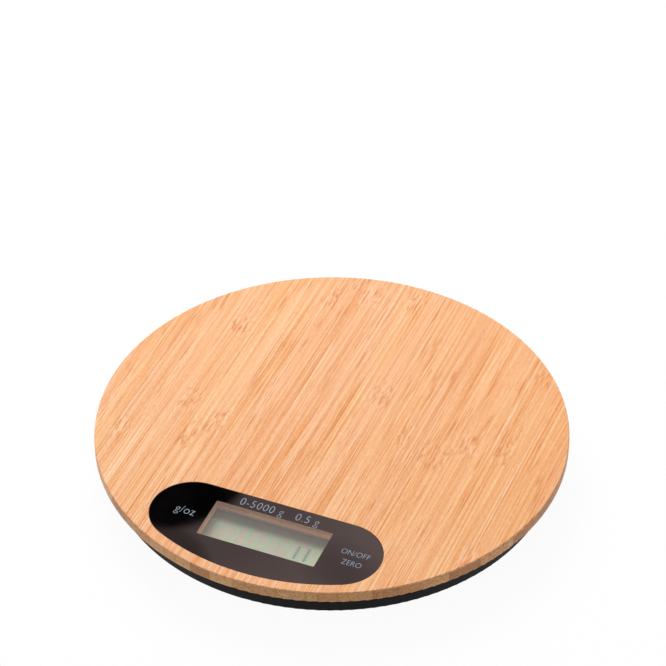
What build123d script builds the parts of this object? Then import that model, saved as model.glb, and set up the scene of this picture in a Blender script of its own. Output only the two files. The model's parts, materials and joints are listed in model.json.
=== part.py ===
"""Round bamboo kitchen scale: a wooden weighing disc on a slim moulded base with four load-cell feet.

Millimetres, +Z up, origin on the table under the middle of the disc. The display is at -Y.
"""
from build123d import *
import math
import os

os.makedirs("parts", exist_ok=True)

# Weighing disc
disc_diameter = 200.0
disc_thickness = 5.0
disc_edge_round = 0.6

# Base moulding
stand_height = 2.0
base_height = 10.0
disc_overhang = 4.0
base_draft = 1.2
base_wall = 2.0
base_floor = 1.8
base_bottom_round = 0.5
rib_thickness = 1.4
rib_height = 4.8
rib_count = 12
hub_ring_radius = 20.0
middle_ring_radius = 50.0
rib_gap = 0.4

# Screws that hold the base to the disc
base_screw_angles = (0, 65, 115, 180, 230, 310)
base_screw_diameter = 2.2
base_screw_head = 5.0
base_screw_head_height = 1.4
base_screw_grip = 3.0
base_screw_shoulder = 4.0
base_boss_wall = 1.1
base_boss_gap = 4.0
screw_recess_width = 0.7
screw_recess_depth = 0.8
screw_hole_fit = 0.3
screw_head_fit = 0.2
pilot_fit = 0.05
pilot_spare = 0.3

# Display panel let into the disc
panel_margin = 5.0
panel_depth = 42.4
panel_end_radius = 17.6
panel_thickness = 1.2
panel_sink = 0.1
panel_fit = 0.15
panel_edge_round = 0.15
tape_thickness = 0.2
tape_inset = 0.8
window_width = 51.5
window_height = 20.6
window_drop = 7.8
window_corner = 0.5
pane_fit = 0.04

# Display stack between the disc and the base
gasket_thickness = 0.5
gasket_rim = 0.5
lcd_margin = 2.5
lcd_plate = 1.3
lcd_ledge = 2.7
lcd_end_margin = 3.0
holder_fit = 0.2
holder_wall = 1.2
holder_height = 2.0
holder_bridge = 2.7
peg_diameter = 1.6
peg_inset = 2.2
peg_fit = 0.1
zebra_width = 2.0
zebra_fit = 0.1

# Touch keys
key_gap = 2.55
plug_diameter = 8.0
plug_flange = 0.8
plug_flange_height = 0.8
plug_fit = 0.5

# Circuit board
board_thickness = 1.0
board_rim = 2.3
board_edge = 2.2
board_wall_gap = 1.2
board_tab_width = 52.0
board_tab_depth = 12.0
board_gap = 0.6
board_screw_pitch = 19.0
board_screw_diameter = 1.8
board_screw_head = 4.0
board_screw_head_height = 1.2
board_screw_grip = 1.4
board_boss_wall = 1.5
blob_diameter = 12.0
blob_height = 1.3
blob_shift = -6.0
chip_length = 10.0
chip_width = 4.0
chip_height = 1.5
capacitor_length = 2.0
capacitor_width = 1.25
capacitor_height = 0.9
capacitor_row = (-18.0, -11.0, 11.0, 18.0)
component_setback = 3.5
socket_width = 16.0
socket_depth = 4.0
socket_height = 4.0
socket_offset = 14.0
battery_socket_width = 7.0

# Load-cell feet
foot_diameter = 20.0
foot_fit = 0.5
foot_bezel_width = 1.4
foot_bezel_depth = 0.5
foot_angle = 36.25
foot_wall_gap = 2.65
foot_rim_round = 0.4
flange_width = 2.0
flange_thickness = 1.0
flange_gap = 0.3
flange_fit = 0.5
foot_tip_diameter = 6.0
pad_diameter = 18.0
pad_thickness = 1.5
pad_proud = 0.7
pad_fit = 0.15
seat_wall = 2.5
seat_height = 3.2
plate_thickness = 1.5
plate_fit = 0.3
tongue_width = 9.0
tongue_root = 8.0
tongue_tip = 3.5
tongue_slot = 1.5
clamp_wall = 3.0
skirt_fit = 0.15
skirt_wall = 0.9
skirt_gap = 0.2
gauge_length = 5.0
gauge_width = 7.0
gauge_height = 1.6

# Leads
sensor_lead_diameter = 1.6
sensor_lead_gap = 0.2
sensor_lead_pitch = 8.0
notch_fit = 0.4
socket_entry = 5.0
front_lead_run = 22.0
front_lead_x = 28.0
front_lead_rise = 10.2
rear_lead_run = 28.0
rear_lead_x = 30.0
rear_lead_y = 20.0
rear_lead_waist_x = 27.0
rear_lead_waist_y = -8.0
rear_lead_entry_x = 13.0
rear_lead_rise = 18.2
battery_lead_diameter = 1.2
battery_lead_pitch = 3.0
battery_lead_bend_y = 15.0
battery_lead_join_y = -5.0
negative_lead_x = -8.0
positive_lead_x = 12.0
bend_share = 0.45

# Battery bay
bay_y = 45.0
cell_diameter = 20.0
cell_thickness = 3.2
cell_cap_height = 0.5
cell_cap_inset = 1.2
cell_edge = 0.3
cell_fit = 0.5
well_wall = 1.5
well_gap = 0.2
bay_wall = 1.6
bay_roof = 1.2
door_side_margin = 4.0
door_latch_margin = 2.0
door_thickness = 1.6
door_fit = 0.4
door_edge_chamfer = 0.4
door_rib_height = 0.6
door_rib_width = 1.2
door_rib_length = 12.0
door_rib_pitch = 10.0
hinge_barrel = 2.8
hinge_gap = 0.3
hinge_pin = 1.6
hinge_pin_length = 1.4
hinge_fit = 0.1
latch_width = 8.0
latch_slot = 1.0
latch_length = 7.0
latch_blade = 1.2
latch_height = 2.4
scoop_radius = 7.0
scoop_depth = 0.8
strip_thickness = 0.3
strip_width = 5.0
strip_bend = 0.3
strip_fit = 0.1
strip_tail = 0.5
contact_height = 1.0
contact_reach = 4.0
contact_return = -2.5
negative_tail_x = -8.5
positive_tail_x = 13.8
rim_contact_gap = 0.05
rim_contact_drop = 3.4

# Heights worked out from the sizes above
base_inner_floor = stand_height + base_floor
deck = stand_height + base_height
disc_top = deck + disc_thickness
panel_top = disc_top - panel_sink
panel_underside = panel_top - panel_thickness
pocket_floor = panel_underside - tape_thickness
lcd_top = deck - gasket_thickness
lcd_middle = lcd_top - lcd_plate
lcd_back = lcd_middle - lcd_plate
board_top = lcd_back - holder_height
board_underside = board_top - board_thickness
shoulder = deck - base_screw_shoulder
seat_top = base_inner_floor + seat_height
plate_top = seat_top + plate_thickness
lead_height = plate_top + sensor_lead_gap + sensor_lead_diameter / 2
door_top = stand_height + door_thickness
cell_underside = door_top + door_rib_height
cell_top = cell_underside + cell_thickness
roof_underside = cell_top + contact_height
roof_top = roof_underside + bay_roof
battery_lead_height = roof_top + battery_lead_diameter / 2

# Radii and places worked out from the sizes above
disc_radius = disc_diameter / 2
base_top_radius = disc_radius - disc_overhang
base_bottom_radius = base_top_radius - base_draft
base_inner_radius = base_bottom_radius - base_wall
base_boss_radius = base_screw_head / 2 + screw_head_fit + base_boss_wall
base_screw_circle = base_inner_radius - base_boss_radius - base_boss_gap

panel_front_radius = disc_radius - panel_margin
panel_back_y = panel_depth - panel_front_radius
panel_end_y = panel_back_y - panel_end_radius
panel_end_x = math.sqrt((panel_front_radius - panel_end_radius) ** 2 - panel_end_y ** 2)
panel_end_angle = math.degrees(math.atan2(-panel_end_y, panel_end_x))
display_y = panel_back_y - window_drop - window_height / 2

lcd_width = window_width + 2 * lcd_margin
lcd_depth = window_height + 2 * lcd_margin
lcd_back_y = display_y + lcd_depth / 2
lcd_front_y = display_y - lcd_depth / 2
holder_width = lcd_width + 2 * (holder_fit + holder_wall)
holder_depth = lcd_depth + 2 * (holder_fit + holder_wall)
zebra_length = lcd_width - 2 * lcd_end_margin
zebra_y = lcd_back_y - lcd_ledge / 2
peg_pitch_x = holder_width - 2 * peg_inset
peg_pitch_y = holder_depth - 2 * peg_inset

plug_flange_radius = plug_diameter / 2 + plug_flange
key_x = holder_width / 2 + key_gap + plug_flange_radius
key_y = panel_end_y
key_points = [(-key_x, key_y), (key_x, key_y)]
board_half = key_x + plug_flange_radius + board_edge
board_front_y = display_y - holder_depth / 2 - board_rim
board_back_y = display_y + holder_depth / 2 + board_rim
board_tab_y = board_back_y + board_tab_depth
board_boss_radius = board_screw_diameter / 2 + board_boss_wall
component_y = board_back_y + component_setback
socket_y = board_tab_y - socket_depth / 2

seat_inner_radius = foot_diameter / 2 + flange_width + flange_fit
seat_outer_radius = seat_inner_radius + seat_wall
plate_radius = seat_outer_radius - plate_fit
clamp_inner_radius = seat_outer_radius - clamp_wall
clamp_outer_radius = plate_radius + skirt_fit + skirt_wall
foot_circle = base_inner_radius - clamp_outer_radius - foot_wall_gap
foot_x = foot_circle * math.cos(math.radians(foot_angle))
foot_y = foot_circle * math.sin(math.radians(foot_angle))

well_radius = cell_diameter / 2 + cell_fit
well_outer_radius = well_radius + well_wall
door_width = 2 * (well_outer_radius + door_side_margin)
door_front_y = bay_y - well_outer_radius - door_latch_margin
barrel_radius = hinge_barrel / 2
hinge_y = bay_y + well_outer_radius + hinge_gap + barrel_radius
hinge_z = stand_height + barrel_radius
bay_front_y = door_front_y - door_fit
bay_back_y = hinge_y + barrel_radius + hinge_gap
bay_half = door_width / 2 + door_fit

# Each foot: its name, its middle, and the side its lead leaves on (-1 is towards -X)
feet = {
    "front_left": (-foot_x, -foot_y, 1),
    "front_right": (foot_x, -foot_y, -1),
    "rear_left": (-foot_x, foot_y, 1),
    "rear_right": (foot_x, foot_y, -1),
}
foot_points = [(x, y) for x, y, side in feet.values()]
base_screw_points = [
    (base_screw_circle * math.cos(math.radians(a)), base_screw_circle * math.sin(math.radians(a)))
    for a in base_screw_angles
]

STANDING = (Align.CENTER, Align.CENTER, Align.MIN)
HANGING = (Align.CENTER, Align.CENTER, Align.MAX)


# Outlines that several pieces share
def panel_outline(grow):
    """Panel shape grown on every side: straight back, round ends, front arc along the disc edge."""
    end_radius = panel_end_radius + grow
    with BuildSketch() as outline:
        with BuildLine():
            Line((-panel_end_x, panel_end_y + end_radius), (panel_end_x, panel_end_y + end_radius))
            CenterArc((panel_end_x, panel_end_y), end_radius, 90, -90 - panel_end_angle)
            CenterArc((0, 0), panel_front_radius + grow, -panel_end_angle, 2 * panel_end_angle - 180)
            CenterArc((-panel_end_x, panel_end_y), end_radius, panel_end_angle - 180, -90 - panel_end_angle)
        make_face()
    return outline.sketch_local


def window_outline(grow):
    """Window shape grown on every side."""
    with BuildSketch() as outline:
        with Locations((0, display_y)):
            RectangleRounded(window_width + 2 * grow, window_height + 2 * grow, window_corner)
    return outline.sketch_local


def board_outline(grow):
    """Board shape grown on every side: a wide front part inside the base wall and a tab for the sockets."""
    with BuildSketch() as outline:
        with Locations((0, (board_front_y + board_back_y) / 2)):
            Rectangle(2 * (board_half + grow), board_back_y - board_front_y + 2 * grow)
        with Locations((0, board_tab_y - board_tab_depth)):
            Rectangle(
                board_tab_width + 2 * grow,
                board_tab_depth + grow,
                align=(Align.CENTER, Align.MIN),
            )
        Circle(base_inner_radius - board_wall_gap + grow, mode=Mode.INTERSECT)
        with Locations(*foot_points):
            Circle(clamp_outer_radius + board_gap - grow, mode=Mode.SUBTRACT)
    return outline.sketch_local


def base_section():
    """Half section of the base as a full body: drafted side and a rounded lower edge."""
    with BuildSketch() as section:
        with BuildLine():
            Polyline(
                (0, stand_height),
                (base_bottom_radius, stand_height),
                (base_top_radius, deck),
                (0, deck),
                close=True,
            )
        make_face()
        lower_corner = section.vertices().group_by(Axis.Y)[0].sort_by(Axis.X)[-1]
        fillet(lower_corner, base_bottom_round)
    return section.sketch_local


# Bamboo weighing disc, pocketed for the panel and cut through for the display and the touch keys
with BuildPart() as bamboo_platform:
    with BuildSketch(Plane.XY.offset(deck)):
        Circle(disc_radius)
    extrude(amount=disc_thickness)
    fillet(bamboo_platform.edges(), disc_edge_round)
    with BuildSketch(Plane.XY.offset(pocket_floor)):
        add(panel_outline(panel_fit))
    extrude(amount=disc_top - pocket_floor, mode=Mode.SUBTRACT)
    with BuildSketch(Plane.XY.offset(deck)):
        add(window_outline(0))
        with Locations(*key_points):
            Circle(plug_diameter / 2 + plug_fit)
    extrude(amount=pocket_floor - deck, mode=Mode.SUBTRACT)
    with BuildSketch(Plane.XY.offset(deck)):
        with Locations(*base_screw_points):
            Circle(base_screw_diameter / 2 + pilot_fit)
    extrude(amount=base_screw_grip + pilot_spare, mode=Mode.SUBTRACT)
bamboo_platform.part.label = "bamboo_platform"
export_step(bamboo_platform.part, "parts/bamboo_platform.step")

# Glossy panel flush with the disc, with the display window cut out
with BuildPart() as display_panel:
    with BuildSketch(Plane.XY.offset(panel_underside)):
        add(panel_outline(0))
    extrude(amount=panel_thickness)
    fillet(display_panel.faces().sort_by(Axis.Z)[-1].edges(), panel_edge_round)
    with BuildSketch(Plane.XY.offset(panel_underside)):
        add(window_outline(0))
    extrude(amount=panel_thickness, mode=Mode.SUBTRACT)
display_panel.part.label = "display_panel"
export_step(display_panel.part, "parts/display_panel.step")

# Clear pane bonded into the window
with BuildPart() as display_window:
    with BuildSketch(Plane.XY.offset(panel_underside)):
        add(window_outline(-pane_fit))
    extrude(amount=panel_thickness)
display_window.part.label = "display_window"
export_step(display_window.part, "parts/display_window.step")

# Adhesive sheet under the panel
with BuildPart() as panel_tape:
    with BuildSketch(Plane.XY.offset(pocket_floor)):
        add(panel_outline(-tape_inset))
        add(window_outline(tape_inset), mode=Mode.SUBTRACT)
        with Locations(*key_points):
            Circle(plug_diameter / 2 + plug_fit, mode=Mode.SUBTRACT)
    extrude(amount=tape_thickness)
panel_tape.part.label = "panel_tape"
export_step(panel_tape.part, "parts/panel_tape.step")

# Foam gasket between the disc and the display glass
with BuildPart() as lcd_gasket:
    with BuildSketch(Plane.XY.offset(lcd_top)):
        with Locations((0, display_y)):
            Rectangle(lcd_width, lcd_depth)
        add(window_outline(gasket_rim), mode=Mode.SUBTRACT)
    extrude(amount=gasket_thickness)
lcd_gasket.part.label = "lcd_gasket"
export_step(lcd_gasket.part, "parts/lcd_gasket.step")

# Display cell: a full front glass and a shorter rear glass that leaves the contact ledge free
with BuildPart() as lcd_cell:
    with BuildSketch(Plane.XY.offset(lcd_middle)):
        with Locations((0, display_y)):
            Rectangle(lcd_width, lcd_depth)
    extrude(amount=lcd_plate)
    with BuildSketch(Plane.XY.offset(lcd_back)):
        with Locations((0, lcd_front_y)):
            Rectangle(lcd_width, lcd_depth - lcd_ledge, align=(Align.CENTER, Align.MIN))
    extrude(amount=lcd_plate)
lcd_cell.part.label = "lcd_cell"
export_step(lcd_cell.part, "parts/lcd_cell.step")

# Holder that frames the display cell and stands on the board with four pegs
with BuildPart() as lcd_holder:
    with BuildSketch(Plane.XY.offset(board_top)):
        with Locations((0, display_y)):
            Rectangle(holder_width, holder_depth)
    extrude(amount=lcd_top - holder_fit - board_top)
    with BuildSketch(Plane.XY.offset(lcd_back)):
        with Locations((0, display_y)):
            Rectangle(lcd_width + 2 * holder_fit, lcd_depth + 2 * holder_fit)
    extrude(amount=lcd_top - lcd_back, mode=Mode.SUBTRACT)
    with BuildSketch(Plane.XY.offset(board_top)):
        with Locations((0, zebra_y)):
            Rectangle(zebra_length + 2 * zebra_fit, zebra_width + 2 * zebra_fit)
        with Locations((0, lcd_front_y + lcd_end_margin)):
            Rectangle(
                zebra_length,
                zebra_y - zebra_width / 2 - holder_bridge - lcd_front_y - lcd_end_margin,
                align=(Align.CENTER, Align.MIN),
            )
    extrude(amount=holder_height, mode=Mode.SUBTRACT)
    with BuildSketch(Plane.XY.offset(board_underside)):
        with Locations((0, display_y)):
            with GridLocations(peg_pitch_x, peg_pitch_y, 2, 2):
                Circle(peg_diameter / 2)
    extrude(amount=board_thickness)
lcd_holder.part.label = "lcd_holder"
export_step(lcd_holder.part, "parts/lcd_holder.step")

# Striped rubber connector between the board and the contact ledge of the display
with BuildPart() as zebra_strip:
    with BuildSketch(Plane.XY.offset(board_top)):
        with Locations((0, zebra_y)):
            Rectangle(zebra_length, zebra_width)
    extrude(amount=lcd_middle - board_top)
zebra_strip.part.label = "zebra_strip"
export_step(zebra_strip.part, "parts/zebra_strip.step")

# Circuit board
with BuildPart() as main_board:
    with BuildSketch(Plane.XY.offset(board_underside)):
        add(board_outline(0))
        with Locations((0, display_y)):
            with GridLocations(peg_pitch_x, peg_pitch_y, 2, 2):
                Circle(peg_diameter / 2 + peg_fit, mode=Mode.SUBTRACT)
        with Locations((0, key_y)):
            with GridLocations(2 * key_x, board_screw_pitch, 2, 2):
                Circle(board_screw_diameter / 2 + peg_fit, mode=Mode.SUBTRACT)
    extrude(amount=board_thickness)
main_board.part.label = "main_board"
export_step(main_board.part, "parts/main_board.step")

# Resin blob over the bare processor chip
with BuildPart() as chip_blob:
    blob_plane = Plane(origin=(blob_shift, display_y, board_top), x_dir=(1, 0, 0), z_dir=(0, -1, 0))
    with BuildSketch(blob_plane):
        with BuildLine():
            SagittaArc((-blob_diameter / 2, 0), (blob_diameter / 2, 0), blob_height)
            Line((-blob_diameter / 2, 0), (blob_diameter / 2, 0))
        make_face()
        with Locations((-blob_diameter, 0)):
            Rectangle(2 * blob_diameter, 4 * blob_diameter, mode=Mode.SUBTRACT)
    revolve(axis=Axis((blob_shift, display_y, board_top), (0, 0, 1)))
chip_blob.part.label = "chip_blob"
export_step(chip_blob.part, "parts/chip_blob.step")

# Converter chip and capacitors on the board
with BuildPart() as board_components:
    with BuildSketch(Plane.XY.offset(board_top)):
        with Locations((0, component_y)):
            Rectangle(chip_length, chip_width)
    extrude(amount=chip_height)
    with BuildSketch(Plane.XY.offset(board_top)):
        with Locations(*[(x, component_y) for x in capacitor_row]):
            Rectangle(capacitor_length, capacitor_width)
    extrude(amount=capacitor_height)
board_components.part.label = "board_components"
export_step(board_components.part, "parts/board_components.step")

# Lead sockets on the board tab
with BuildPart() as board_sockets:
    with BuildSketch(Plane.XY.offset(board_top)):
        with Locations((-socket_offset, socket_y), (socket_offset, socket_y)):
            Rectangle(socket_width, socket_depth)
        with Locations((0, socket_y)):
            Rectangle(battery_socket_width, socket_depth)
    extrude(amount=socket_height)
board_sockets.part.label = "board_sockets"
export_step(board_sockets.part, "parts/board_sockets.step")

# Conductive plugs that carry a touch from the panel to the board
with BuildPart() as touch_plugs:
    with BuildSketch(Plane.XY.offset(board_top)):
        with Locations(*key_points):
            Circle(plug_flange_radius)
    extrude(amount=plug_flange_height)
    with BuildSketch(Plane.XY.offset(board_top)):
        with Locations(*key_points):
            Circle(plug_diameter / 2)
    extrude(amount=panel_underside - board_top)
touch_plugs.part.label = "touch_plugs"
export_step(touch_plugs.part, "parts/touch_plugs.step")

# Screws that hold the board to the base
with BuildPart() as board_screws:
    with Locations((0, key_y, board_top)):
        with GridLocations(2 * key_x, board_screw_pitch, 2, 2):
            Cylinder(board_screw_head / 2, board_screw_head_height, align=STANDING)
            Cylinder(board_screw_diameter / 2, board_thickness + board_screw_grip, align=HANGING)
board_screws.part.label = "board_screws"
export_step(board_screws.part, "parts/board_screws.step")

# Stiffening ribs of the base, trimmed to the body of the base
with BuildPart() as rib_web:
    with BuildSketch(Plane.XY.offset(base_inner_floor)):
        # The wider ring first, since the inside of each ring is cleared
        for ring_radius in (middle_ring_radius, hub_ring_radius):
            Circle(ring_radius + rib_thickness / 2)
            Circle(ring_radius - rib_thickness / 2, mode=Mode.SUBTRACT)
        rib_length = base_top_radius - hub_ring_radius
        with PolarLocations(hub_ring_radius + rib_length / 2, rib_count, start_angle=180 / rib_count):
            Rectangle(rib_length, rib_thickness)
    extrude(amount=rib_height)
    with BuildSketch(Plane.XZ):
        add(base_section())
    revolve(axis=Axis.Z, mode=Mode.INTERSECT)

# Base moulding: drafted dish with ribs, screw bosses, foot seats and the battery bay
with BuildPart() as base_shell:
    with BuildSketch(Plane.XZ):
        add(base_section())
    revolve(axis=Axis.Z)
    with BuildSketch(Plane.XZ):
        with BuildLine():
            Polyline(
                (0, base_inner_floor),
                (base_inner_radius, base_inner_floor),
                (base_top_radius - base_wall, deck),
                (0, deck),
                close=True,
            )
        make_face()
    revolve(axis=Axis.Z, mode=Mode.SUBTRACT)
    add(rib_web.part)
    # Room in the ribs for the feet, the board and the battery bay
    with BuildSketch(Plane.XY.offset(base_inner_floor)):
        with Locations(*foot_points):
            Circle(clamp_outer_radius + rib_gap)
        add(board_outline(rib_gap))
        with Locations((0, (bay_front_y + bay_back_y) / 2)):
            Rectangle(2 * bay_half, bay_back_y - bay_front_y)
    extrude(amount=rib_height, mode=Mode.SUBTRACT)
    # Foot seats
    with BuildSketch(Plane.XY.offset(base_inner_floor)):
        with Locations(*foot_points):
            Circle(seat_outer_radius)
            Circle(seat_inner_radius, mode=Mode.SUBTRACT)
    extrude(amount=seat_height)
    with BuildSketch(Plane.XY.offset(stand_height)):
        with Locations(*foot_points):
            Circle(foot_diameter / 2 + foot_fit)
    extrude(amount=base_floor, mode=Mode.SUBTRACT)
    # Sunk rings round the feet
    with BuildSketch(Plane.XY.offset(stand_height)):
        with Locations(*foot_points):
            Circle(foot_diameter / 2 + foot_fit + foot_bezel_width)
    extrude(amount=foot_bezel_depth, mode=Mode.SUBTRACT)
    # Bosses for the screws into the disc, counterbored from below
    with BuildSketch(Plane.XY.offset(base_inner_floor)):
        with Locations(*base_screw_points):
            Circle(base_boss_radius)
    extrude(amount=deck - base_inner_floor)
    with BuildSketch(Plane.XY.offset(stand_height)):
        with Locations(*base_screw_points):
            Circle(base_screw_diameter / 2 + screw_hole_fit)
    extrude(amount=base_height, mode=Mode.SUBTRACT)
    with BuildSketch(Plane.XY.offset(stand_height)):
        with Locations(*base_screw_points):
            Circle(base_screw_head / 2 + screw_head_fit)
    extrude(amount=shoulder - stand_height, mode=Mode.SUBTRACT)
    # Bosses for the board
    with BuildSketch(Plane.XY.offset(base_inner_floor)):
        with Locations((0, key_y)):
            with GridLocations(2 * key_x, board_screw_pitch, 2, 2):
                Circle(board_boss_radius)
    extrude(amount=board_underside - base_inner_floor)
    with BuildSketch(Plane.XY.offset(board_underside)):
        with Locations((0, key_y)):
            with GridLocations(2 * key_x, board_screw_pitch, 2, 2):
                Circle(board_screw_diameter / 2 + pilot_fit)
    extrude(amount=-board_screw_grip - pilot_spare, mode=Mode.SUBTRACT)
    # Battery bay: a roofed box over the door opening, with a round well for the cell
    with BuildSketch(Plane.XY.offset(base_inner_floor)):
        with Locations((0, (bay_front_y + bay_back_y) / 2)):
            Rectangle(2 * (bay_half + bay_wall), bay_back_y - bay_front_y + 2 * bay_wall)
    extrude(amount=roof_top - base_inner_floor)
    with BuildSketch(Plane.XY.offset(stand_height)):
        with Locations((0, (bay_front_y + bay_back_y) / 2)):
            Rectangle(2 * bay_half, bay_back_y - bay_front_y)
    extrude(amount=roof_underside - stand_height, mode=Mode.SUBTRACT)
    with BuildSketch(Plane.XY.offset(cell_underside + well_gap)):
        with Locations((0, bay_y)):
            Circle(well_outer_radius)
            Circle(well_radius, mode=Mode.SUBTRACT)
        with Locations((well_radius, bay_y)):
            Rectangle(4 * well_wall, strip_width + 2 * cell_fit, mode=Mode.SUBTRACT)
    extrude(amount=roof_underside - cell_underside - well_gap)
    with BuildSketch(Plane.XY.offset(roof_underside)):
        with Locations((negative_tail_x, bay_y), (positive_tail_x, bay_y)):
            Rectangle(strip_thickness + 2 * strip_fit, strip_width + 2 * strip_fit)
    extrude(amount=bay_roof, mode=Mode.SUBTRACT)
    # Pin holes of the battery door and the finger scoop at its latch
    with BuildSketch(Plane.YZ.offset(-bay_half - hinge_pin_length)):
        with Locations((hinge_y, hinge_z)):
            Circle(hinge_pin / 2 + hinge_fit)
    extrude(amount=2 * (bay_half + hinge_pin_length), mode=Mode.SUBTRACT)
    with BuildSketch(Plane.XY.offset(stand_height)):
        with Locations((0, bay_front_y)):
            Circle(scoop_radius)
    extrude(amount=scoop_depth, mode=Mode.SUBTRACT)
base_shell.part.label = "base_shell"
export_step(base_shell.part, "parts/base_shell.step")

# Screws from the base into the disc, with a cross recess in the head
with BuildPart() as base_screws:
    with Locations(*[(x, y, shoulder) for x, y in base_screw_points]):
        Cylinder(base_screw_head / 2, base_screw_head_height, align=HANGING)
        Cylinder(base_screw_diameter / 2, deck + base_screw_grip - shoulder, align=STANDING)
    recess_length = base_screw_head / 2
    with BuildSketch(Plane.XY.offset(shoulder - base_screw_head_height)):
        with Locations(*base_screw_points):
            Rectangle(recess_length, screw_recess_width)
            Rectangle(screw_recess_width, recess_length)
    extrude(amount=screw_recess_depth, mode=Mode.SUBTRACT)
base_screws.part.label = "base_screws"
export_step(base_screws.part, "parts/base_screws.step")


# Load-cell foot, in five pieces
def upright_plane(x, y):
    """Section plane through the middle of a foot: local x runs outwards, local y is the height."""
    return Plane(origin=(x, y, 0), x_dir=(1, 0, 0), z_dir=(0, -1, 0))


def make_foot(x, y):
    """Plastic foot: a body in the floor of the base, a flange that keeps it in, and a tip on the tongue."""
    body = foot_diameter / 2
    recess = pad_diameter / 2 + pad_fit
    flange_bottom = base_inner_floor + flange_gap
    with BuildPart() as foot:
        with BuildSketch(upright_plane(x, y)) as section:
            with BuildLine():
                Polyline(
                    (0, pad_thickness),
                    (recess, pad_thickness),
                    (recess, pad_proud),
                    (body, pad_proud),
                    (body, flange_bottom),
                    (body + flange_width, flange_bottom),
                    (body + flange_width, flange_bottom + flange_thickness),
                    (foot_tip_diameter / 2, flange_bottom + flange_thickness),
                    (foot_tip_diameter / 2, seat_top),
                    (0, seat_top),
                    close=True,
                )
            make_face()
            rim = section.vertices().group_by(Axis.Y)[0].sort_by(Axis.X)[-1]
            fillet(rim, foot_rim_round)
        revolve(axis=Axis((x, y, 0), (0, 0, 1)))
    return foot.part


def make_foot_pad(x, y):
    """Rubber pad in the recess of the foot, standing proud of its rim."""
    with BuildPart() as pad:
        with BuildSketch():
            with Locations((x, y)):
                Circle(pad_diameter / 2)
        extrude(amount=pad_thickness)
        chamfer(pad.edges().group_by(Axis.Z)[0], pad_proud / 2)
    return pad.part


def make_load_plate(x, y, side):
    """Steel sensor plate: a disc with a U-shaped slot that leaves a bending tongue over the foot."""
    with BuildPart() as plate:
        with BuildSketch(Plane(origin=(x, y, seat_top), x_dir=(-side, 0, 0), z_dir=(0, 0, 1))):
            Circle(plate_radius)
            slot_width = tongue_width + 2 * tongue_slot
            with Locations((-tongue_root, 0)):
                Rectangle(
                    tongue_root + tongue_tip + tongue_slot,
                    slot_width,
                    align=(Align.MIN, Align.CENTER),
                    mode=Mode.SUBTRACT,
                )
                Rectangle(tongue_root + tongue_tip, tongue_width, align=(Align.MIN, Align.CENTER))
        extrude(amount=plate_thickness)
    return plate.part


def make_sensor_ring(x, y, side):
    """Plastic ring that clamps the plate up to the disc, with a skirt round it and a notch for the lead."""
    with BuildPart() as ring:
        with BuildSketch(upright_plane(x, y)):
            with BuildLine():
                Polyline(
                    (clamp_inner_radius, plate_top),
                    (plate_radius + skirt_fit, plate_top),
                    (plate_radius + skirt_fit, seat_top + skirt_gap),
                    (clamp_outer_radius, seat_top + skirt_gap),
                    (clamp_outer_radius, deck),
                    (clamp_inner_radius, deck),
                    close=True,
                )
            make_face()
        revolve(axis=Axis((x, y, 0), (0, 0, 1)))
        notch_width = sensor_lead_diameter + 2 * notch_fit
        with BuildSketch(Plane(origin=(x, y, plate_top), x_dir=(side, 0, 0), z_dir=(0, 0, 1))):
            Rectangle(2 * clamp_outer_radius, notch_width, align=(Align.MIN, Align.CENTER))
        extrude(amount=sensor_lead_gap + sensor_lead_diameter + notch_fit, mode=Mode.SUBTRACT)
    return ring.part


def make_gauge_coat(x, y, side):
    """Coated strain gauge at the root of the tongue."""
    with BuildPart() as coat:
        with BuildSketch(Plane(origin=(x, y, plate_top), x_dir=(-side, 0, 0), z_dir=(0, 0, 1))):
            with Locations((-tongue_root, 0)):
                Rectangle(gauge_length, gauge_width, align=(Align.MIN, Align.CENTER))
        extrude(amount=gauge_height)
    return coat.part


for place, (x, y, side) in feet.items():
    foot = make_foot(x, y)
    foot.label = f"foot_{place}"
    export_step(foot, f"parts/foot_{place}.step")
    pad = make_foot_pad(x, y)
    pad.label = f"foot_pad_{place}"
    export_step(pad, f"parts/foot_pad_{place}.step")
    plate = make_load_plate(x, y, side)
    plate.label = f"load_plate_{place}"
    export_step(plate, f"parts/load_plate_{place}.step")
    ring = make_sensor_ring(x, y, side)
    ring.label = f"sensor_ring_{place}"
    export_step(ring, f"parts/sensor_ring_{place}.step")
    coat = make_gauge_coat(x, y, side)
    coat.label = f"gauge_coat_{place}"
    export_step(coat, f"parts/gauge_coat_{place}.step")


# Leads inside the base: straight runs joined by tangent arcs, as wide as the runs allow
def bend_radii(points):
    """Radius of the arc at each inner corner of a route."""
    radii = []
    for before, corner, after in zip(points, points[1:], points[2:]):
        run_in = Vector(*corner) - Vector(*before)
        run_out = Vector(*after) - Vector(*corner)
        half_turn = math.radians(run_in.get_angle(run_out)) / 2
        radii.append(bend_share * min(run_in.length, run_out.length) / math.tan(half_turn))
    return radii


def make_lead(points, diameter):
    """Round lead along a route, from its first point to its last."""
    radii = bend_radii(points)
    print("lead bend radii", [round(r, 1) for r in radii])
    with BuildPart() as lead:
        with BuildLine() as route:
            FilletPolyline(*points, radius=radii)
        with BuildSketch(Plane(origin=route.line @ 0, z_dir=route.line % 0)):
            Circle(diameter / 2)
        sweep(path=route.line)
    return lead.part


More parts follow.
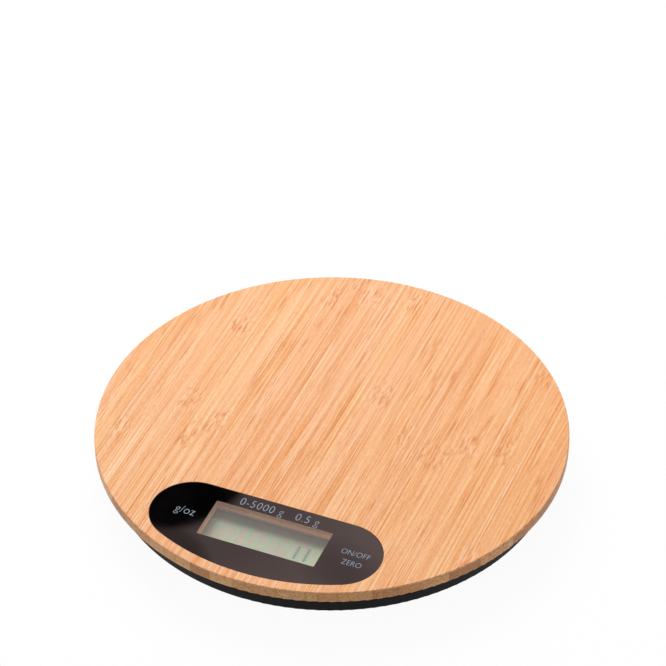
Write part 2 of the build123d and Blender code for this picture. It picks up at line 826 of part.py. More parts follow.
# Way points of the leads on the +X side; the -X side mirrors them
rear_lead_way = [
    (foot_x - rear_lead_run, foot_y),
    (rear_lead_x, rear_lead_y),
    (rear_lead_waist_x, rear_lead_waist_y),
    (rear_lead_entry_x, board_tab_y + rear_lead_rise),
]
front_lead_way = [(foot_x - front_lead_run, -foot_y), (front_lead_x, board_tab_y + front_lead_rise)]
for place, (x, y, side) in feet.items():
    way = rear_lead_way if y > 0 else front_lead_way
    pin = socket_offset + (-sensor_lead_pitch if y > 0 else sensor_lead_pitch) / 2
    into_socket = [(pin, way[-1][1] - socket_entry), (pin, board_tab_y)]
    flat_route = [(abs(x) - tongue_root, y)] + way + into_socket
    lead = make_lead([(-side * px, py, lead_height) for px, py in flat_route], sensor_lead_diameter)
    lead.label = f"sensor_lead_{place}"
    export_step(lead, f"parts/sensor_lead_{place}.step")

battery_route_start = bay_y - strip_width / 2
battery_routes = [
    [
        (negative_tail_x, battery_route_start),
        (negative_lead_x, battery_lead_bend_y),
        (-battery_lead_pitch / 2, battery_lead_join_y),
        (-battery_lead_pitch / 2, board_tab_y),
    ],
    [
        (positive_tail_x, battery_route_start),
        (positive_lead_x, battery_lead_bend_y),
        (battery_lead_pitch / 2, battery_lead_join_y),
        (battery_lead_pitch / 2, board_tab_y),
    ],
]
battery_wires = [
    make_lead([(px, py, battery_lead_height) for px, py in route], battery_lead_diameter)
    for route in battery_routes
]
with BuildPart() as battery_leads:
    add(battery_wires)
battery_leads.part.label = "battery_leads"
export_step(battery_leads.part, "parts/battery_leads.step")

# Battery door: a plate with a hinge barrel, press ribs and a springy latch tongue
with BuildPart() as battery_door:
    with BuildSketch(Plane.XY.offset(stand_height)):
        with Locations((0, (door_front_y + hinge_y) / 2)):
            Rectangle(door_width, hinge_y - door_front_y)
        slot_x = (latch_width + latch_slot) / 2
        with Locations((-slot_x, door_front_y), (slot_x, door_front_y)):
            Rectangle(
                latch_slot,
                latch_length,
                align=(Align.CENTER, Align.MIN),
                mode=Mode.SUBTRACT,
            )
    extrude(amount=door_thickness)
    lower_edges = battery_door.edges().group_by(Axis.Z)[0]
    chamfer(lower_edges.sort_by(Axis.Y)[:-1], door_edge_chamfer)
    with BuildSketch(Plane.YZ.offset(-door_width / 2)):
        with Locations((hinge_y, hinge_z)):
            Circle(barrel_radius)
    extrude(amount=door_width)
    with BuildSketch(Plane.YZ.offset(-door_width / 2 - hinge_pin_length)):
        with Locations((hinge_y, hinge_z)):
            Circle(hinge_pin / 2)
    extrude(amount=door_width + 2 * hinge_pin_length)
    with BuildSketch(Plane.XY.offset(door_top)):
        with Locations((0, bay_y)):
            with GridLocations(0, door_rib_pitch, 1, 2):
                Rectangle(door_rib_length, door_rib_width)
    extrude(amount=door_rib_height)
    with BuildSketch(Plane.XY.offset(door_top)):
        with Locations((0, door_front_y)):
            Rectangle(latch_width, latch_blade, align=(Align.CENTER, Align.MIN))
    extrude(amount=latch_height)
battery_door.part.label = "battery_door"
export_step(battery_door.part, "parts/battery_door.step")

# Coin cell, its can down and its smaller cap up
with BuildPart() as coin_cell:
    with BuildSketch(Plane.XY.offset(cell_underside)):
        with Locations((0, bay_y)):
            Circle(cell_diameter / 2)
    extrude(amount=cell_thickness - cell_cap_height)
    chamfer(coin_cell.edges(), cell_edge)
    with BuildSketch(Plane.XY.offset(cell_top)):
        with Locations((0, bay_y)):
            Circle(cell_diameter / 2 - cell_cap_inset)
    extrude(amount=-cell_cap_height)
coin_cell.part.label = "coin_cell"
export_step(coin_cell.part, "parts/coin_cell.step")

# Contact strips bent from sheet metal, each with a tail through the roof of the bay
half_strip = strip_thickness / 2
on_roof = roof_underside - half_strip
bay_section = Plane(origin=(0, bay_y, 0), x_dir=(1, 0, 0), z_dir=(0, -1, 0))

with BuildPart() as battery_negative_contact:
    with BuildSketch(bay_section):
        with BuildLine() as strip:
            FilletPolyline(
                (negative_tail_x, roof_top + strip_tail),
                (negative_tail_x, on_roof),
                (contact_reach, on_roof),
                (contact_reach, cell_top + half_strip),
                (contact_return, cell_top + half_strip),
                radius=strip_bend,
            )
        trace(line_width=strip_thickness)
    extrude(amount=strip_width / 2, both=True)
battery_negative_contact.part.label = "battery_negative_contact"
export_step(battery_negative_contact.part, "parts/battery_negative_contact.step")

with BuildPart() as battery_positive_contact:
    rim_x = cell_diameter / 2 + rim_contact_gap + half_strip
    with BuildSketch(bay_section):
        with BuildLine() as strip:
            FilletPolyline(
                (rim_x, on_roof - rim_contact_drop),
                (rim_x, on_roof),
                (positive_tail_x, on_roof),
                (positive_tail_x, roof_top + strip_tail),
                radius=strip_bend,
            )
        trace(line_width=strip_thickness)
    extrude(amount=strip_width / 2, both=True)
battery_positive_contact.part.label = "battery_positive_contact"
export_step(battery_positive_contact.part, "parts/battery_positive_contact.step")
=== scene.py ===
# %% [markdown]
# # A round bamboo kitchen scale
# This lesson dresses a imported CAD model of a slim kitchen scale: a bamboo weighing disc, a glossy
# panel let in flush with its top, and a black moulded base on four load-cell feet. The CAD gives
# every size and place, so Blender only has to make the surfaces look like what they are.
#
# Lengths are metres in the CAD frame: +Z is up, the display faces -Y, and the origin lies on the
# table under the middle of the disc. Finishes count in millimetres, which suits fine grain better.

# %% Load the CAD frame
import json
import math

import bmesh
import bpy
from mathutils import Matrix, Vector


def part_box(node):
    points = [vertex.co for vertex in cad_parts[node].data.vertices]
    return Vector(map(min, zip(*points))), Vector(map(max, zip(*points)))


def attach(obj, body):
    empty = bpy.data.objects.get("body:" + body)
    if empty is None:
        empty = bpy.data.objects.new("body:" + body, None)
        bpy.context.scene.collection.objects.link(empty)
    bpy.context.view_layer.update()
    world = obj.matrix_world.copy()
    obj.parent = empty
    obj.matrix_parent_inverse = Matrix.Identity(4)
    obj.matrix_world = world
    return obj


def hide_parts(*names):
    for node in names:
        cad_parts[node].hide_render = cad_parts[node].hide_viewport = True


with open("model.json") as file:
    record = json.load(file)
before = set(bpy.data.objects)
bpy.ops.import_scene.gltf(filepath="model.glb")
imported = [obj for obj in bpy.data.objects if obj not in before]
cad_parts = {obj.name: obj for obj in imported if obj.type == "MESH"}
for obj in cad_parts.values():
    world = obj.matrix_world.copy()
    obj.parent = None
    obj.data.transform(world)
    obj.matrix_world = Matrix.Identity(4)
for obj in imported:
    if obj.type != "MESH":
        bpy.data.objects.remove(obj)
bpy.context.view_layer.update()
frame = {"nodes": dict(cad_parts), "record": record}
MM = 0.001

# %% [markdown]
# ## The camera
# The picture was taken from a little to the right of the display, looking about 40 degrees down
# through a long lens. A camera placed by eye would miss edges by a few pixels. Fitting the disc,
# the panel and the window to the picture gave the angles and the distance below, and the camera is
# built from them, so that every edge falls where it does in the picture.

# %% Place the camera
PICTURE_SIDE = 666
FOCAL_PIXELS = 3000.0
SENSOR = 36.0
VIEW_TURN = 0.39636986
VIEW_RISE = 0.69690044
VIEW_ROLL = -0.0039431
VIEW_DISTANCE = 1264.056 * MM
VIEW_RIGHT = -0.48515 * MM
VIEW_UP = -39.00109 * MM
VIEW_REACH = (0.05, 50)
DISC_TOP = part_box("bamboo_platform")[1].z


def show(name, data):
    """A new object of the scene that holds this data."""
    thing = bpy.data.objects.new(name, data)
    bpy.context.collection.objects.link(thing)
    return thing


def camera_axes():
    """The camera's own right, up and backward directions."""
    back = Vector((
        math.sin(VIEW_TURN) * math.cos(VIEW_RISE),
        -math.cos(VIEW_TURN) * math.cos(VIEW_RISE),
        math.sin(VIEW_RISE),
    ))
    level = Vector((math.cos(VIEW_TURN), math.sin(VIEW_TURN), 0))
    steep = back.cross(level)
    right = math.cos(VIEW_ROLL) * level + math.sin(VIEW_ROLL) * steep
    up = math.cos(VIEW_ROLL) * steep - math.sin(VIEW_ROLL) * level
    return right, up, back


right, up, back = camera_axes()
camera = show("camera", bpy.data.cameras.new("camera"))
camera.data.sensor_width = SENSOR
camera.data.lens = FOCAL_PIXELS / PICTURE_SIDE * SENSOR
camera.data.clip_start, camera.data.clip_end = VIEW_REACH
place = VIEW_DISTANCE * back - VIEW_RIGHT * right - VIEW_UP * up + Vector((0, 0, DISC_TOP))
turn = Matrix((right, up, back)).transposed().to_4x4()
camera.matrix_world = Matrix.Translation(place) @ turn
bpy.context.scene.camera = camera
print("camera at", [round(c, 3) for c in place], "with a lens of", round(camera.data.lens, 1), "mm")

# %% [markdown]
# ## Helpers for finishes
# A finish is a material built from nodes. They could be placed by hand in the editor, but a recipe
# in code can be read, repeated and changed in one place. Colours are written as they look on a
# screen, so one helper turns them into the linear values that Blender mixes. Another adds a node
# and wires its inputs in a single call.


# %% Colour, node and number helpers
def srgb(red, green, blue):
    """A screen colour of 0 to 255 as linear light."""
    shares = [c / 255 for c in (red, green, blue)]
    return [s / 12.92 if s <= 0.04045 else ((s + 0.055) / 1.055) ** 2.4 for s in shares] + [1.0]


def add(tree, kind, inputs=None, **settings):
    """A new node, with its settings made and its inputs wired or filled in."""
    made = tree.nodes.new(kind)
    for key, value in settings.items():
        setattr(made, key, value)
    for key, value in (inputs or {}).items():
        if isinstance(value, bpy.types.NodeSocket):
            tree.links.new(value, made.inputs[key])
        else:
            made.inputs[key].default_value = value
    return made


def result(tree, kind, inputs=None, **settings):
    """The first output of a new node."""
    return add(tree, kind, inputs, **settings).outputs[0]


def math_node(tree, operation, first, second=0.5):
    """The result of a sum on one or two numbers."""
    return result(tree, "ShaderNodeMath", {0: first, 1: second}, operation=operation)


def times(tree, first, second):
    """Two numbers multiplied."""
    return math_node(tree, "MULTIPLY", first, second)


def weighted(tree, first, share, second):
    """A share of one number and the rest of another."""
    return math_node(tree, "ADD", times(tree, first, share), times(tree, second, 1 - share))


def span(tree, value, low, high, to_low=0.0, to_high=1.0):
    """A value eased from one range into another and held at its ends."""
    inputs = {"Value": value, "From Min": low, "From Max": high}
    inputs.update({"To Min": to_low, "To Max": to_high})
    return result(tree, "ShaderNodeMapRange", inputs, interpolation_type="SMOOTHSTEP")


def axes_of(tree, vector):
    """The X, Y and Z of a vector."""
    return add(tree, "ShaderNodeSeparateXYZ", {0: vector}).outputs


def millimetres(tree):
    """The place on the piece in millimetres, in the CAD frame."""
    place = add(tree, "ShaderNodeTexCoord").outputs["Object"]
    return result(tree, "ShaderNodeMapping", {"Vector": place, "Scale": (1 / MM,) * 3})


def noise(tree, place, per_mm, detail=2.0, roughness=0.5, shift=(0, 0, 0)):
    """Noise with so many waves per millimetre, one number or three for X, Y and Z."""
    scale = per_mm if isinstance(per_mm, tuple) else (per_mm,) * 3
    inputs = {"Vector": place, "Scale": scale, "Location": shift}
    at = result(tree, "ShaderNodeMapping", inputs)
    inputs = {"Vector": at, "Scale": 1.0, "Detail": detail, "Roughness": roughness}
    return result(tree, "ShaderNodeTexNoise", inputs)


MOST_NOISE = (0.3, 0.7)
print("number and noise helpers ready, most noise from", *MOST_NOISE)

# %% [markdown]
# A few more helpers mix colours, lift a bump and start a finish. Plain values go straight onto the
# shader's own sockets, so a finish still has a sensible colour where its nodes aren't read.


# %% Mixing, bump and shader helpers
def mix_colours(tree, share, under, over, blend_type="MIX"):
    """One colour laid over another by a share."""
    inputs = {0: share, 6: under, 7: over}
    return add(tree, "ShaderNodeMix", inputs, data_type="RGBA", blend_type=blend_type).outputs[2]


def ramp(tree, value, stops):
    """A colour looked up along a row of (place, colour) stops."""
    made = add(tree, "ShaderNodeValToRGB", {0: value})
    row = made.color_ramp.elements
    while len(row) < len(stops):
        row.new(1.0)
    for element, (at, colour) in zip(row, stops):
        element.position = at
        element.color = colour
    return made.outputs[0]


def bump(tree, height, depth_mm, strength):
    """A surface normal that follows a height."""
    inputs = {"Height": height, "Distance": depth_mm * MM, "Strength": strength}
    return result(tree, "ShaderNodeBump", inputs)


def new_finish(name, colour, roughness, **sockets):
    """A material with plain values set on the shader's own sockets, ready for its details."""
    finish = bpy.data.materials.new(name)
    finish.use_nodes = True
    shader = finish.node_tree.nodes["Principled BSDF"]
    shader.inputs["Base Color"].default_value = srgb(*colour)
    shader.inputs["Roughness"].default_value = roughness
    for key, value in sockets.items():
        shader.inputs[key.replace("_", " ")].default_value = value
    return finish, finish.node_tree, shader


def connect(tree, shader, **sockets):
    """Wires results into the shader's sockets."""
    for key, value in sockets.items():
        tree.links.new(value, shader.inputs[key.replace("_", " ")])


print("finish helpers ready")

# %% [markdown]
# ## Bamboo
# The disc is a glued board: strips of bamboo about a centimetre wide run along Y and stand side by
# side along X. A grain picture wrapped round the disc would not turn into dots at the cut ends.
# Noise in three dimensions does, if it is drawn out along Y, so the finish is built as a solid
# that the disc is cut from.
#
# The strips come first. A row of cells gives every strip random numbers to draw on. They also move
# the grain, so that no fibre runs on from one strip into the next.

# %% Strips of the board
STRIP_WIDTH = 8.5
STRIP_MOVE = (90, 400, 0)


def cells(tree, along, **settings):
    """The outputs of a row of random cells, about one for each whole number."""
    inputs = {"W": along, "Scale": 1.0}
    return add(tree, "ShaderNodeTexVoronoi", inputs, voronoi_dimensions="1D", **settings).outputs


def board_strips(tree, place, axes):
    """Each strip's random numbers, the way to its seam, and the place in its own wood."""
    across = math_node(tree, "DIVIDE", axes["X"], STRIP_WIDTH)
    chance = cells(tree, across)["Color"]
    seam = cells(tree, across, feature="DISTANCE_TO_EDGE")["Distance"]
    inputs = {0: chance, 1: STRIP_MOVE}
    move = result(tree, "ShaderNodeVectorMath", inputs, operation="MULTIPLY")
    wood = result(tree, "ShaderNodeVectorMath", {0: place, 1: move})
    return add(tree, "ShaderNodeSeparateColor", {0: chance}).outputs, seam, wood


print("strips of about", STRIP_WIDTH, "mm")

# %% [markdown]
# ### Body
# Bamboo is an even, pale wood. Soft bands and fine threads vary its tone, every strip is tinted a
# little pinker or yellower, and the board turns slightly darker and yellower towards its right
# side.

# %% Body of a strip
BANDS = {"per_mm": (0.55, 0.008, 0.55)}
THREADS = {"per_mm": (2.7, 0.018, 2.7), "roughness": 0.6, "shift": (7, 3, 5)}
BAND_SHARE = 0.38
BODY_RANGE = (0.25, 0.75)
BODY_SHADES = [
    (0.10, srgb(235, 169, 117)),
    (0.40, srgb(245, 187, 141)),
    (0.60, srgb(249, 197, 153)),
    (0.90, srgb(252, 211, 173)),
]
STRIP_TINTS = [
    (0.00, srgb(249, 237, 231)),
    (0.35, srgb(255, 249, 246)),
    (0.70, srgb(255, 251, 236)),
    (1.00, srgb(250, 238, 226)),
]
TINT_SHARE = 0.7
RIGHTWARD_SPAN = (-10.0, 90.0)
RIGHTWARD_TINT = srgb(252, 242, 229)


def strip_body(tree, axes, luck, bands, threads):
    """The colour of the wood without its fibres."""
    tone = span(tree, weighted(tree, bands, BAND_SHARE, threads), *BODY_RANGE)
    colour = ramp(tree, tone, BODY_SHADES)
    tint = ramp(tree, luck["Red"], STRIP_TINTS)
    colour = mix_colours(tree, TINT_SHARE, colour, tint, "MULTIPLY")
    return mix_colours(tree, span(tree, axes["X"], *RIGHTWARD_SPAN), colour, RIGHTWARD_TINT, "MULTIPLY")


print(len(BODY_SHADES), "shades of wood and", len(STRIP_TINTS), "tints of strips")

# %% [markdown]
# ### Fibres
# Bundles of fibre show on the top as thin spindles as long as the strip. They could be modelled as
# lines, but there are thousands. Here each kind is noise drawn out along Y and cut off below a
# level: long dark ones, long pale ones, dark veins and short ticks. Dark fibres and veins crowd
# together and ticks come in flocks, so a slower noise thins them out elsewhere. Fine pits lie over
# all of them.

# %% Fibres of a strip
FIBRES = {
    "crowd": {"waves": (0.20, 0.008), "shift": (4, 1, 7), "levels": (0.40, 0.58), "least": 0.35},
    "flock": {"waves": (0.14, 0.02), "shift": (5, 5, 5), "levels": (0.42, 0.60), "least": 0.15},
    "dark": {"waves": (2.7, 0.007), "shift": (31, 0, 9), "levels": (0.555, 0.62), "most": 0.95},
    "pale": {"waves": (1.4, 0.010), "shift": (3, 9, 61), "levels": (0.60, 0.72), "most": 0.55},
    "veins": {"waves": (2.6, 0.008), "shift": (8, 4, 27), "levels": (0.62, 0.67), "most": 0.70},
    "ticks": {"waves": (2.2, 0.055), "shift": (17, 2, 3), "levels": (0.57, 0.68), "most": 0.85},
}
DARK_SHADES = [(0.35, srgb(222, 136, 68)), (0.65, srgb(238, 156, 70))]
PALE_SHADE = srgb(253, 220, 184)
VEIN_SHADE = srgb(208, 122, 58)
TICK_SHADE = srgb(214, 128, 66)
PITS = {"per_mm": (2.6, 0.42, 2.6), "roughness": 0.7, "shift": (2, 2, 8)}
PIT_SHARE = 0.30
PIT_SHADES = [((0.50, 0.66), srgb(222, 154, 102)), ((0.48, 0.32), srgb(255, 218, 178))]


def fibres(tree, wood, waves, shift, levels, least=0.0, most=1.0):
    """Spindles with so many waves per millimetre across and along, as a share of cover."""
    across, along = waves
    strength = noise(tree, wood, (across, along, across), 1.0, 0.5, shift)
    return span(tree, strength, *levels, least, most)


def lay_fibres(tree, colour, place, wood, bands):
    """The colour with fibres and pits laid over it, one kind after another."""
    grown = {name: fibres(tree, wood, **sizes) for name, sizes in FIBRES.items()}
    layers = [
        (times(tree, grown["dark"], grown["crowd"]), ramp(tree, bands, DARK_SHADES)),
        (grown["pale"], PALE_SHADE),
        (times(tree, grown["veins"], grown["crowd"]), VEIN_SHADE),
        (times(tree, grown["ticks"], grown["flock"]), TICK_SHADE),
    ]
    pits = noise(tree, place, **PITS)
    for levels, shade in PIT_SHADES:
        layers.append((span(tree, pits, *levels, 0.0, PIT_SHARE), shade))
    for share, shade in layers:
        colour = mix_colours(tree, share, colour, shade)
    return colour


print(len(FIBRES), "kinds of noise for the fibres")

# %% [markdown]
# ### Stalk joints and seams
# Where the stalk had a joint, a strip carries a short patch of broken dashes and pale specks. Each
# strip has its patches at other places, so the cells that place them are moved by the strip's
# random number. A hairline of glue runs along every seam.

# %% Stalk joints and seams
JOINT_SPACING = 260.0
JOINT_LENGTH = 13.0
JOINT_CORE = 0.2
JOINT_SCATTER = 17.0
JOINT_GRAIN = {"per_mm": (1.5, 0.21, 1.5), "roughness": 0.6, "shift": (11, 5, 2)}
JOINT_LAYERS = [
    ((0.53, 0.64), 0.80, srgb(212, 126, 66)),
    ((0.44, 0.33), 0.42, srgb(255, 224, 194)),
]
SEAM_REACH = (0.006, 0.030)
SEAM_SHARE = 0.22
SEAM_SHADE = srgb(206, 136, 88)


def joints_and_seams(tree, colour, axes, luck, seam, wood):
    """The colour with the patches of stalk joints and the lines of glue laid over it."""
    length = math_node(tree, "DIVIDE", axes["Y"], JOINT_SPACING)
    length = math_node(tree, "ADD", length, times(tree, luck["Green"], JOINT_SCATTER))
    away = times(tree, cells(tree, length)["Distance"], JOINT_SPACING)
    patch = span(tree, away, JOINT_CORE * JOINT_LENGTH, JOINT_LENGTH, 1.0, 0.0)
    grain = noise(tree, wood, **JOINT_GRAIN)
    for levels, most, shade in JOINT_LAYERS:
        share = times(tree, patch, span(tree, grain, *levels, 0.0, most))
        colour = mix_colours(tree, share, colour, shade)
    glue = span(tree, seam, *SEAM_REACH, SEAM_SHARE, 0.0)
    return mix_colours(tree, glue, colour, SEAM_SHADE)


print("stalk joints", JOINT_LENGTH, "mm long, about every", JOINT_SPACING, "mm")

# %% [markdown]
# ### Sawn edges
# On the cut ends round the rim the board is browner, bundles of fibre show as dots, strips differ
# more and glue shows as dark lines. The wall of the pocket under the window is a cut edge as well.
# It is greyer and darker than the rim, partly its own tone and partly painted shade, more so lower
# down, and its foot is darkened most with painted shade, where little light gets. A second material
# with its own faces would draw a hard line at the rounded edge, so one finish fades into the other
# as the surface turns upright.

# %% Sawn edges of the board
SAWN_GRAIN = {"per_mm": (0.5, 0.02, 0.5), "detail": 3.0, "roughness": 0.6, "shift": (1, 8, 4)}
SAWN_SHADES = [(0.30, srgb(224, 164, 106)), (0.70, srgb(248, 196, 136))]
SAWN_STRIPS = [
    (0.0, srgb(206, 182, 168)),
    (0.4, srgb(240, 226, 214)),
    (1.0, srgb(255, 255, 252)),
]
BUNDLES_PER_MM = (1.15, 0.03, 1.15)
DOT_REACH = (0.18, 0.42)
DOT_SHARE = (0.45, 0.95)
DOT_SHADE = srgb(150, 94, 56)
GLUE_REACH = (0.02, 0.07)
GLUE_SHARE = 0.38
GLUE_BY_LUCK = (0.1, 0.9, 0.25, 1.0)
GLUE_SHADE = srgb(136, 84, 50)
RIM_STARTS = (97.0, 98.5)
WALL_RISE = (12.8, 15.4)
WALL_SHARE = (0.80, 0.55)
# painted shade: the foot of the window's wall is painted darker, where little light gets
WALL_FOOT_SHADE_SPAN = (12.9, 13.5)
WALL_SHADE_AND_TONE = (srgb(156, 130, 126), srgb(238, 187, 163))


def sawn_colour(tree, axes, luck, seam, wood):
    """The colour of the rim, and of the wall under the window, with painted shade low on that wall.
    """
    colour = ramp(tree, noise(tree, wood, **SAWN_GRAIN), SAWN_SHADES)
    at = result(tree, "ShaderNodeMapping", {"Vector": wood, "Scale": BUNDLES_PER_MM})
    bundles = result(tree, "ShaderNodeTexVoronoi", {"Vector": at, "Scale": 1.0})
    dotted = span(tree, luck["Red"], 0.0, 1.0, *DOT_SHARE)
    dots = times(tree, span(tree, bundles, *DOT_REACH, 1.0, 0.0), dotted)
    colour = mix_colours(tree, dots, colour, DOT_SHADE)
    colour = mix_colours(tree, 1.0, colour, ramp(tree, luck["Blue"], SAWN_STRIPS), "MULTIPLY")

    flat = result(tree, "ShaderNodeCombineXYZ", {0: axes["X"], 1: axes["Y"]})
    radius = add(tree, "ShaderNodeVectorMath", {0: flat}, operation="LENGTH").outputs["Value"]
    glue = span(tree, seam, *GLUE_REACH, GLUE_SHARE, 0.0)
    glue = times(tree, glue, span(tree, radius, *RIM_STARTS))
    glue = times(tree, glue, span(tree, luck["Green"], *GLUE_BY_LUCK))
    colour = mix_colours(tree, glue, colour, GLUE_SHADE)

    # Under the window the wall is mixed towards a greyer pink, more so lower down. This is partly
    # its own tone and partly painted shade, and its foot is painted darker still.
    inside = span(tree, radius, *reversed(RIM_STARTS))
    deep = times(tree, span(tree, axes["Z"], *WALL_RISE, *WALL_SHARE), inside)
    wall = mix_colours(tree, span(tree, axes["Z"], *WALL_FOOT_SHADE_SPAN), *WALL_SHADE_AND_TONE)
    return mix_colours(tree, deep, colour, wall)


print("rim from a radius of", RIM_STARTS[0], "mm")

# %% [markdown]
# ### The whole finish
# The layers are now put together from the body outwards. The wood is sanded and only sealed, so it
# is fairly rough, a little less so along the pale bands, and the threads lift a slight bump.

# %% Bamboo finish
UPRIGHT = (0.55, 0.15)
SAWN_SHARE = 0.92
BAMBOO_ROUGHNESS = (0.52, 0.40)
BAMBOO_BUMP = (0.015, 0.10)


def bamboo_finish():
    finish, tree, shader = new_finish("bamboo", (240, 180, 130), 0.45, IOR=1.45)
    place = millimetres(tree)
    axes = axes_of(tree, place)
    luck, seam, wood = board_strips(tree, place, axes)
    bands, threads = noise(tree, wood, **BANDS), noise(tree, wood, **THREADS)
    colour = strip_body(tree, axes, luck, bands, threads)
    colour = lay_fibres(tree, colour, place, wood, bands)
    colour = joints_and_seams(tree, colour, axes, luck, seam, wood)
    normal = add(tree, "ShaderNodeTexCoord").outputs["Normal"]
    facing = math_node(tree, "ABSOLUTE", axes_of(tree, normal)["Z"])
    edge = times(tree, span(tree, facing, *UPRIGHT), SAWN_SHARE)
    colour = mix_colours(tree, edge, colour, sawn_colour(tree, axes, luck, seam, wood))
    rough = span(tree, bands, *MOST_NOISE, *BAMBOO_ROUGHNESS)
    grain = bump(tree, threads, *BAMBOO_BUMP)
    connect(tree, shader, Base_Color=colour, Roughness=rough, Normal=grain)
    return finish


BAMBOO = bamboo_finish()
print("bamboo finish:", len(BAMBOO.node_tree.nodes), "nodes")

# %% [markdown]
# ## Panel and pane
# The panel is a glossy black plate, so nearly all that shows on it is what it mirrors. Its finish
# is therefore a dark body with a smooth surface, a warm tint to its mirror image and only a breath
# of unevenness. The pane over the display is clear: letting most light straight through with a low
# alpha keeps the display lit, where true refraction would leave it in the dark.

# %% Panel and pane finishes
PANEL_IOR = 1.82
PANEL_MIRROR = (1.0, 0.68, 0.65, 1.0)
PANEL_HAZE = {"per_mm": 0.05, "detail": 3.0, "roughness": 0.6}
PANEL_SHADES = [(0.35, srgb(3, 3, 4)), (0.65, srgb(9, 7, 7))]
PANEL_ROUGHNESS = (0.02, 0.04)
PANEL_RIPPLE = {"per_mm": 0.03, "detail": 1.0, "shift": (4, 4, 4)}
PANEL_BUMP = (0.04, 0.10)
# The pane shows 7 per cent of itself. Its pale diffuse colour there is a painted reflection, a veil
# that lifts the dark tones seen through it, with a little real gloss besides.
PANE_ALPHA = 0.07
PANE_RUB = {"per_mm": 0.2, "detail": 3.0, "roughness": 0.6}
PANE_ROUGHNESS = (0.03, 0.08)


def panel_finish():
    finish, tree, shader = new_finish(
        "panel_black", (5, 5, 5), 0.05, IOR=PANEL_IOR, Specular_Tint=PANEL_MIRROR,
    )
    place = millimetres(tree)
    haze = noise(tree, place, **PANEL_HAZE)
    body = ramp(tree, haze, PANEL_SHADES)
    rough = span(tree, haze, *MOST_NOISE, *PANEL_ROUGHNESS)
    ripple = bump(tree, noise(tree, place, **PANEL_RIPPLE), *PANEL_BUMP)
    connect(tree, shader, Base_Color=body, Roughness=rough, Normal=ripple)
    return finish


def pane_finish():
    finish, tree, shader = new_finish(
        "clear_acrylic", (236, 240, 238), 0.04, IOR=1.49, Alpha=PANE_ALPHA,
    )
    rub = noise(tree, millimetres(tree), **PANE_RUB)
    connect(tree, shader, Roughness=span(tree, rub, *MOST_NOISE, *PANE_ROUGHNESS))
    return finish


PANEL, PANE = panel_finish(), pane_finish()
print("panel and pane finishes ready")

# %% [markdown]
# ## Display
# The display is a grey-green reflecting cell. Its electrodes show as a hint of upright stripes that
# swing between pink and green, greener towards the right. A slow noise lets them drift, because
# even stripes would look drawn. The far band under the wall of the window is darkened with a
# painted shadow of that wall, so that the wall looks as deep as in the picture.

# %% Display finish
STRIPE_PITCH = 4.5
STRIPE_SWING = 0.13
DRIFT = {"per_mm": (0.20, 0.16, 0.20), "detail": 1.0, "shift": (6, 1, 2)}
DRIFT_RANGE = (0.2, 0.8, 0.34, 0.66)
GREEN_SIDE = (8.0, 24.0)
GREEN_LIFT = 0.18
CELL_CLOUD = {"per_mm": (0.06, 0.10, 0.06)}
CELL_SHADES = [(0.3, srgb(169, 173, 148)), (0.7, srgb(186, 188, 165))]
CELL_HUES = [
    (0.34, srgb(198, 168, 156)),
    (0.50, srgb(180, 182, 157)),
    (0.66, srgb(161, 193, 152)),
]
HUE_SHARE = 0.55
FAR_WALL_SHADOW = (-67.3, -62.9)
WALL_SHADOW_TINT = srgb(206, 188, 196)
CELL_SPARKLE = {"per_mm": 9.0, "detail": 1.0}
CELL_BUMP = (0.004, 0.25)


def display_finish():
    finish, tree, shader = new_finish("lcd", (178, 187, 163), 0.30, IOR=1.5)
    place = millimetres(tree)
    axes = axes_of(tree, place)
    stripes = math_node(tree, "SINE", times(tree, axes["X"], math.tau / STRIPE_PITCH))
    drift = span(tree, noise(tree, place, **DRIFT), *DRIFT_RANGE)
    hue = math_node(tree, "ADD", times(tree, stripes, STRIPE_SWING), drift)
    hue = math_node(tree, "ADD", hue, span(tree, axes["X"], *GREEN_SIDE, 0.0, GREEN_LIFT))
    body = ramp(tree, noise(tree, place, **CELL_CLOUD), CELL_SHADES)
    body = mix_colours(tree, HUE_SHARE, body, ramp(tree, hue, CELL_HUES))
    # painted shadow: the far band of the display is darkened as if the window's wall shaded it
    wall_shadow = span(tree, axes["Y"], *FAR_WALL_SHADOW)
    body = mix_colours(tree, wall_shadow, body, WALL_SHADOW_TINT, "MULTIPLY")
    sparkle = bump(tree, noise(tree, place, **CELL_SPARKLE), *CELL_BUMP)
    connect(tree, shader, Base_Color=body, Normal=sparkle)
    return finish


DISPLAY = display_finish()
print("display finish with stripes every", STRIPE_PITCH, "mm")

# %% [markdown]
# ## Moulded, metal and rubber finishes
# The other pieces are moulded plastic, sheet metal, rubber, foam and a circuit board. They differ
# in colour, in how rough they are, and in the size and direction of their fine texture, so one
# recipe with those as its values makes them all: a fine noise varies the colour and the roughness
# and lifts a slight bump. Drawing the noise out along an axis turns the same recipe into brushed
# steel.
#
# A row holds the darkest and the palest colour, the roughness, the waves of the noise per
# millimetre, the bump's depth in millimetres, and, where they differ from plain plastic, how
# metallic and how glossy the piece is.

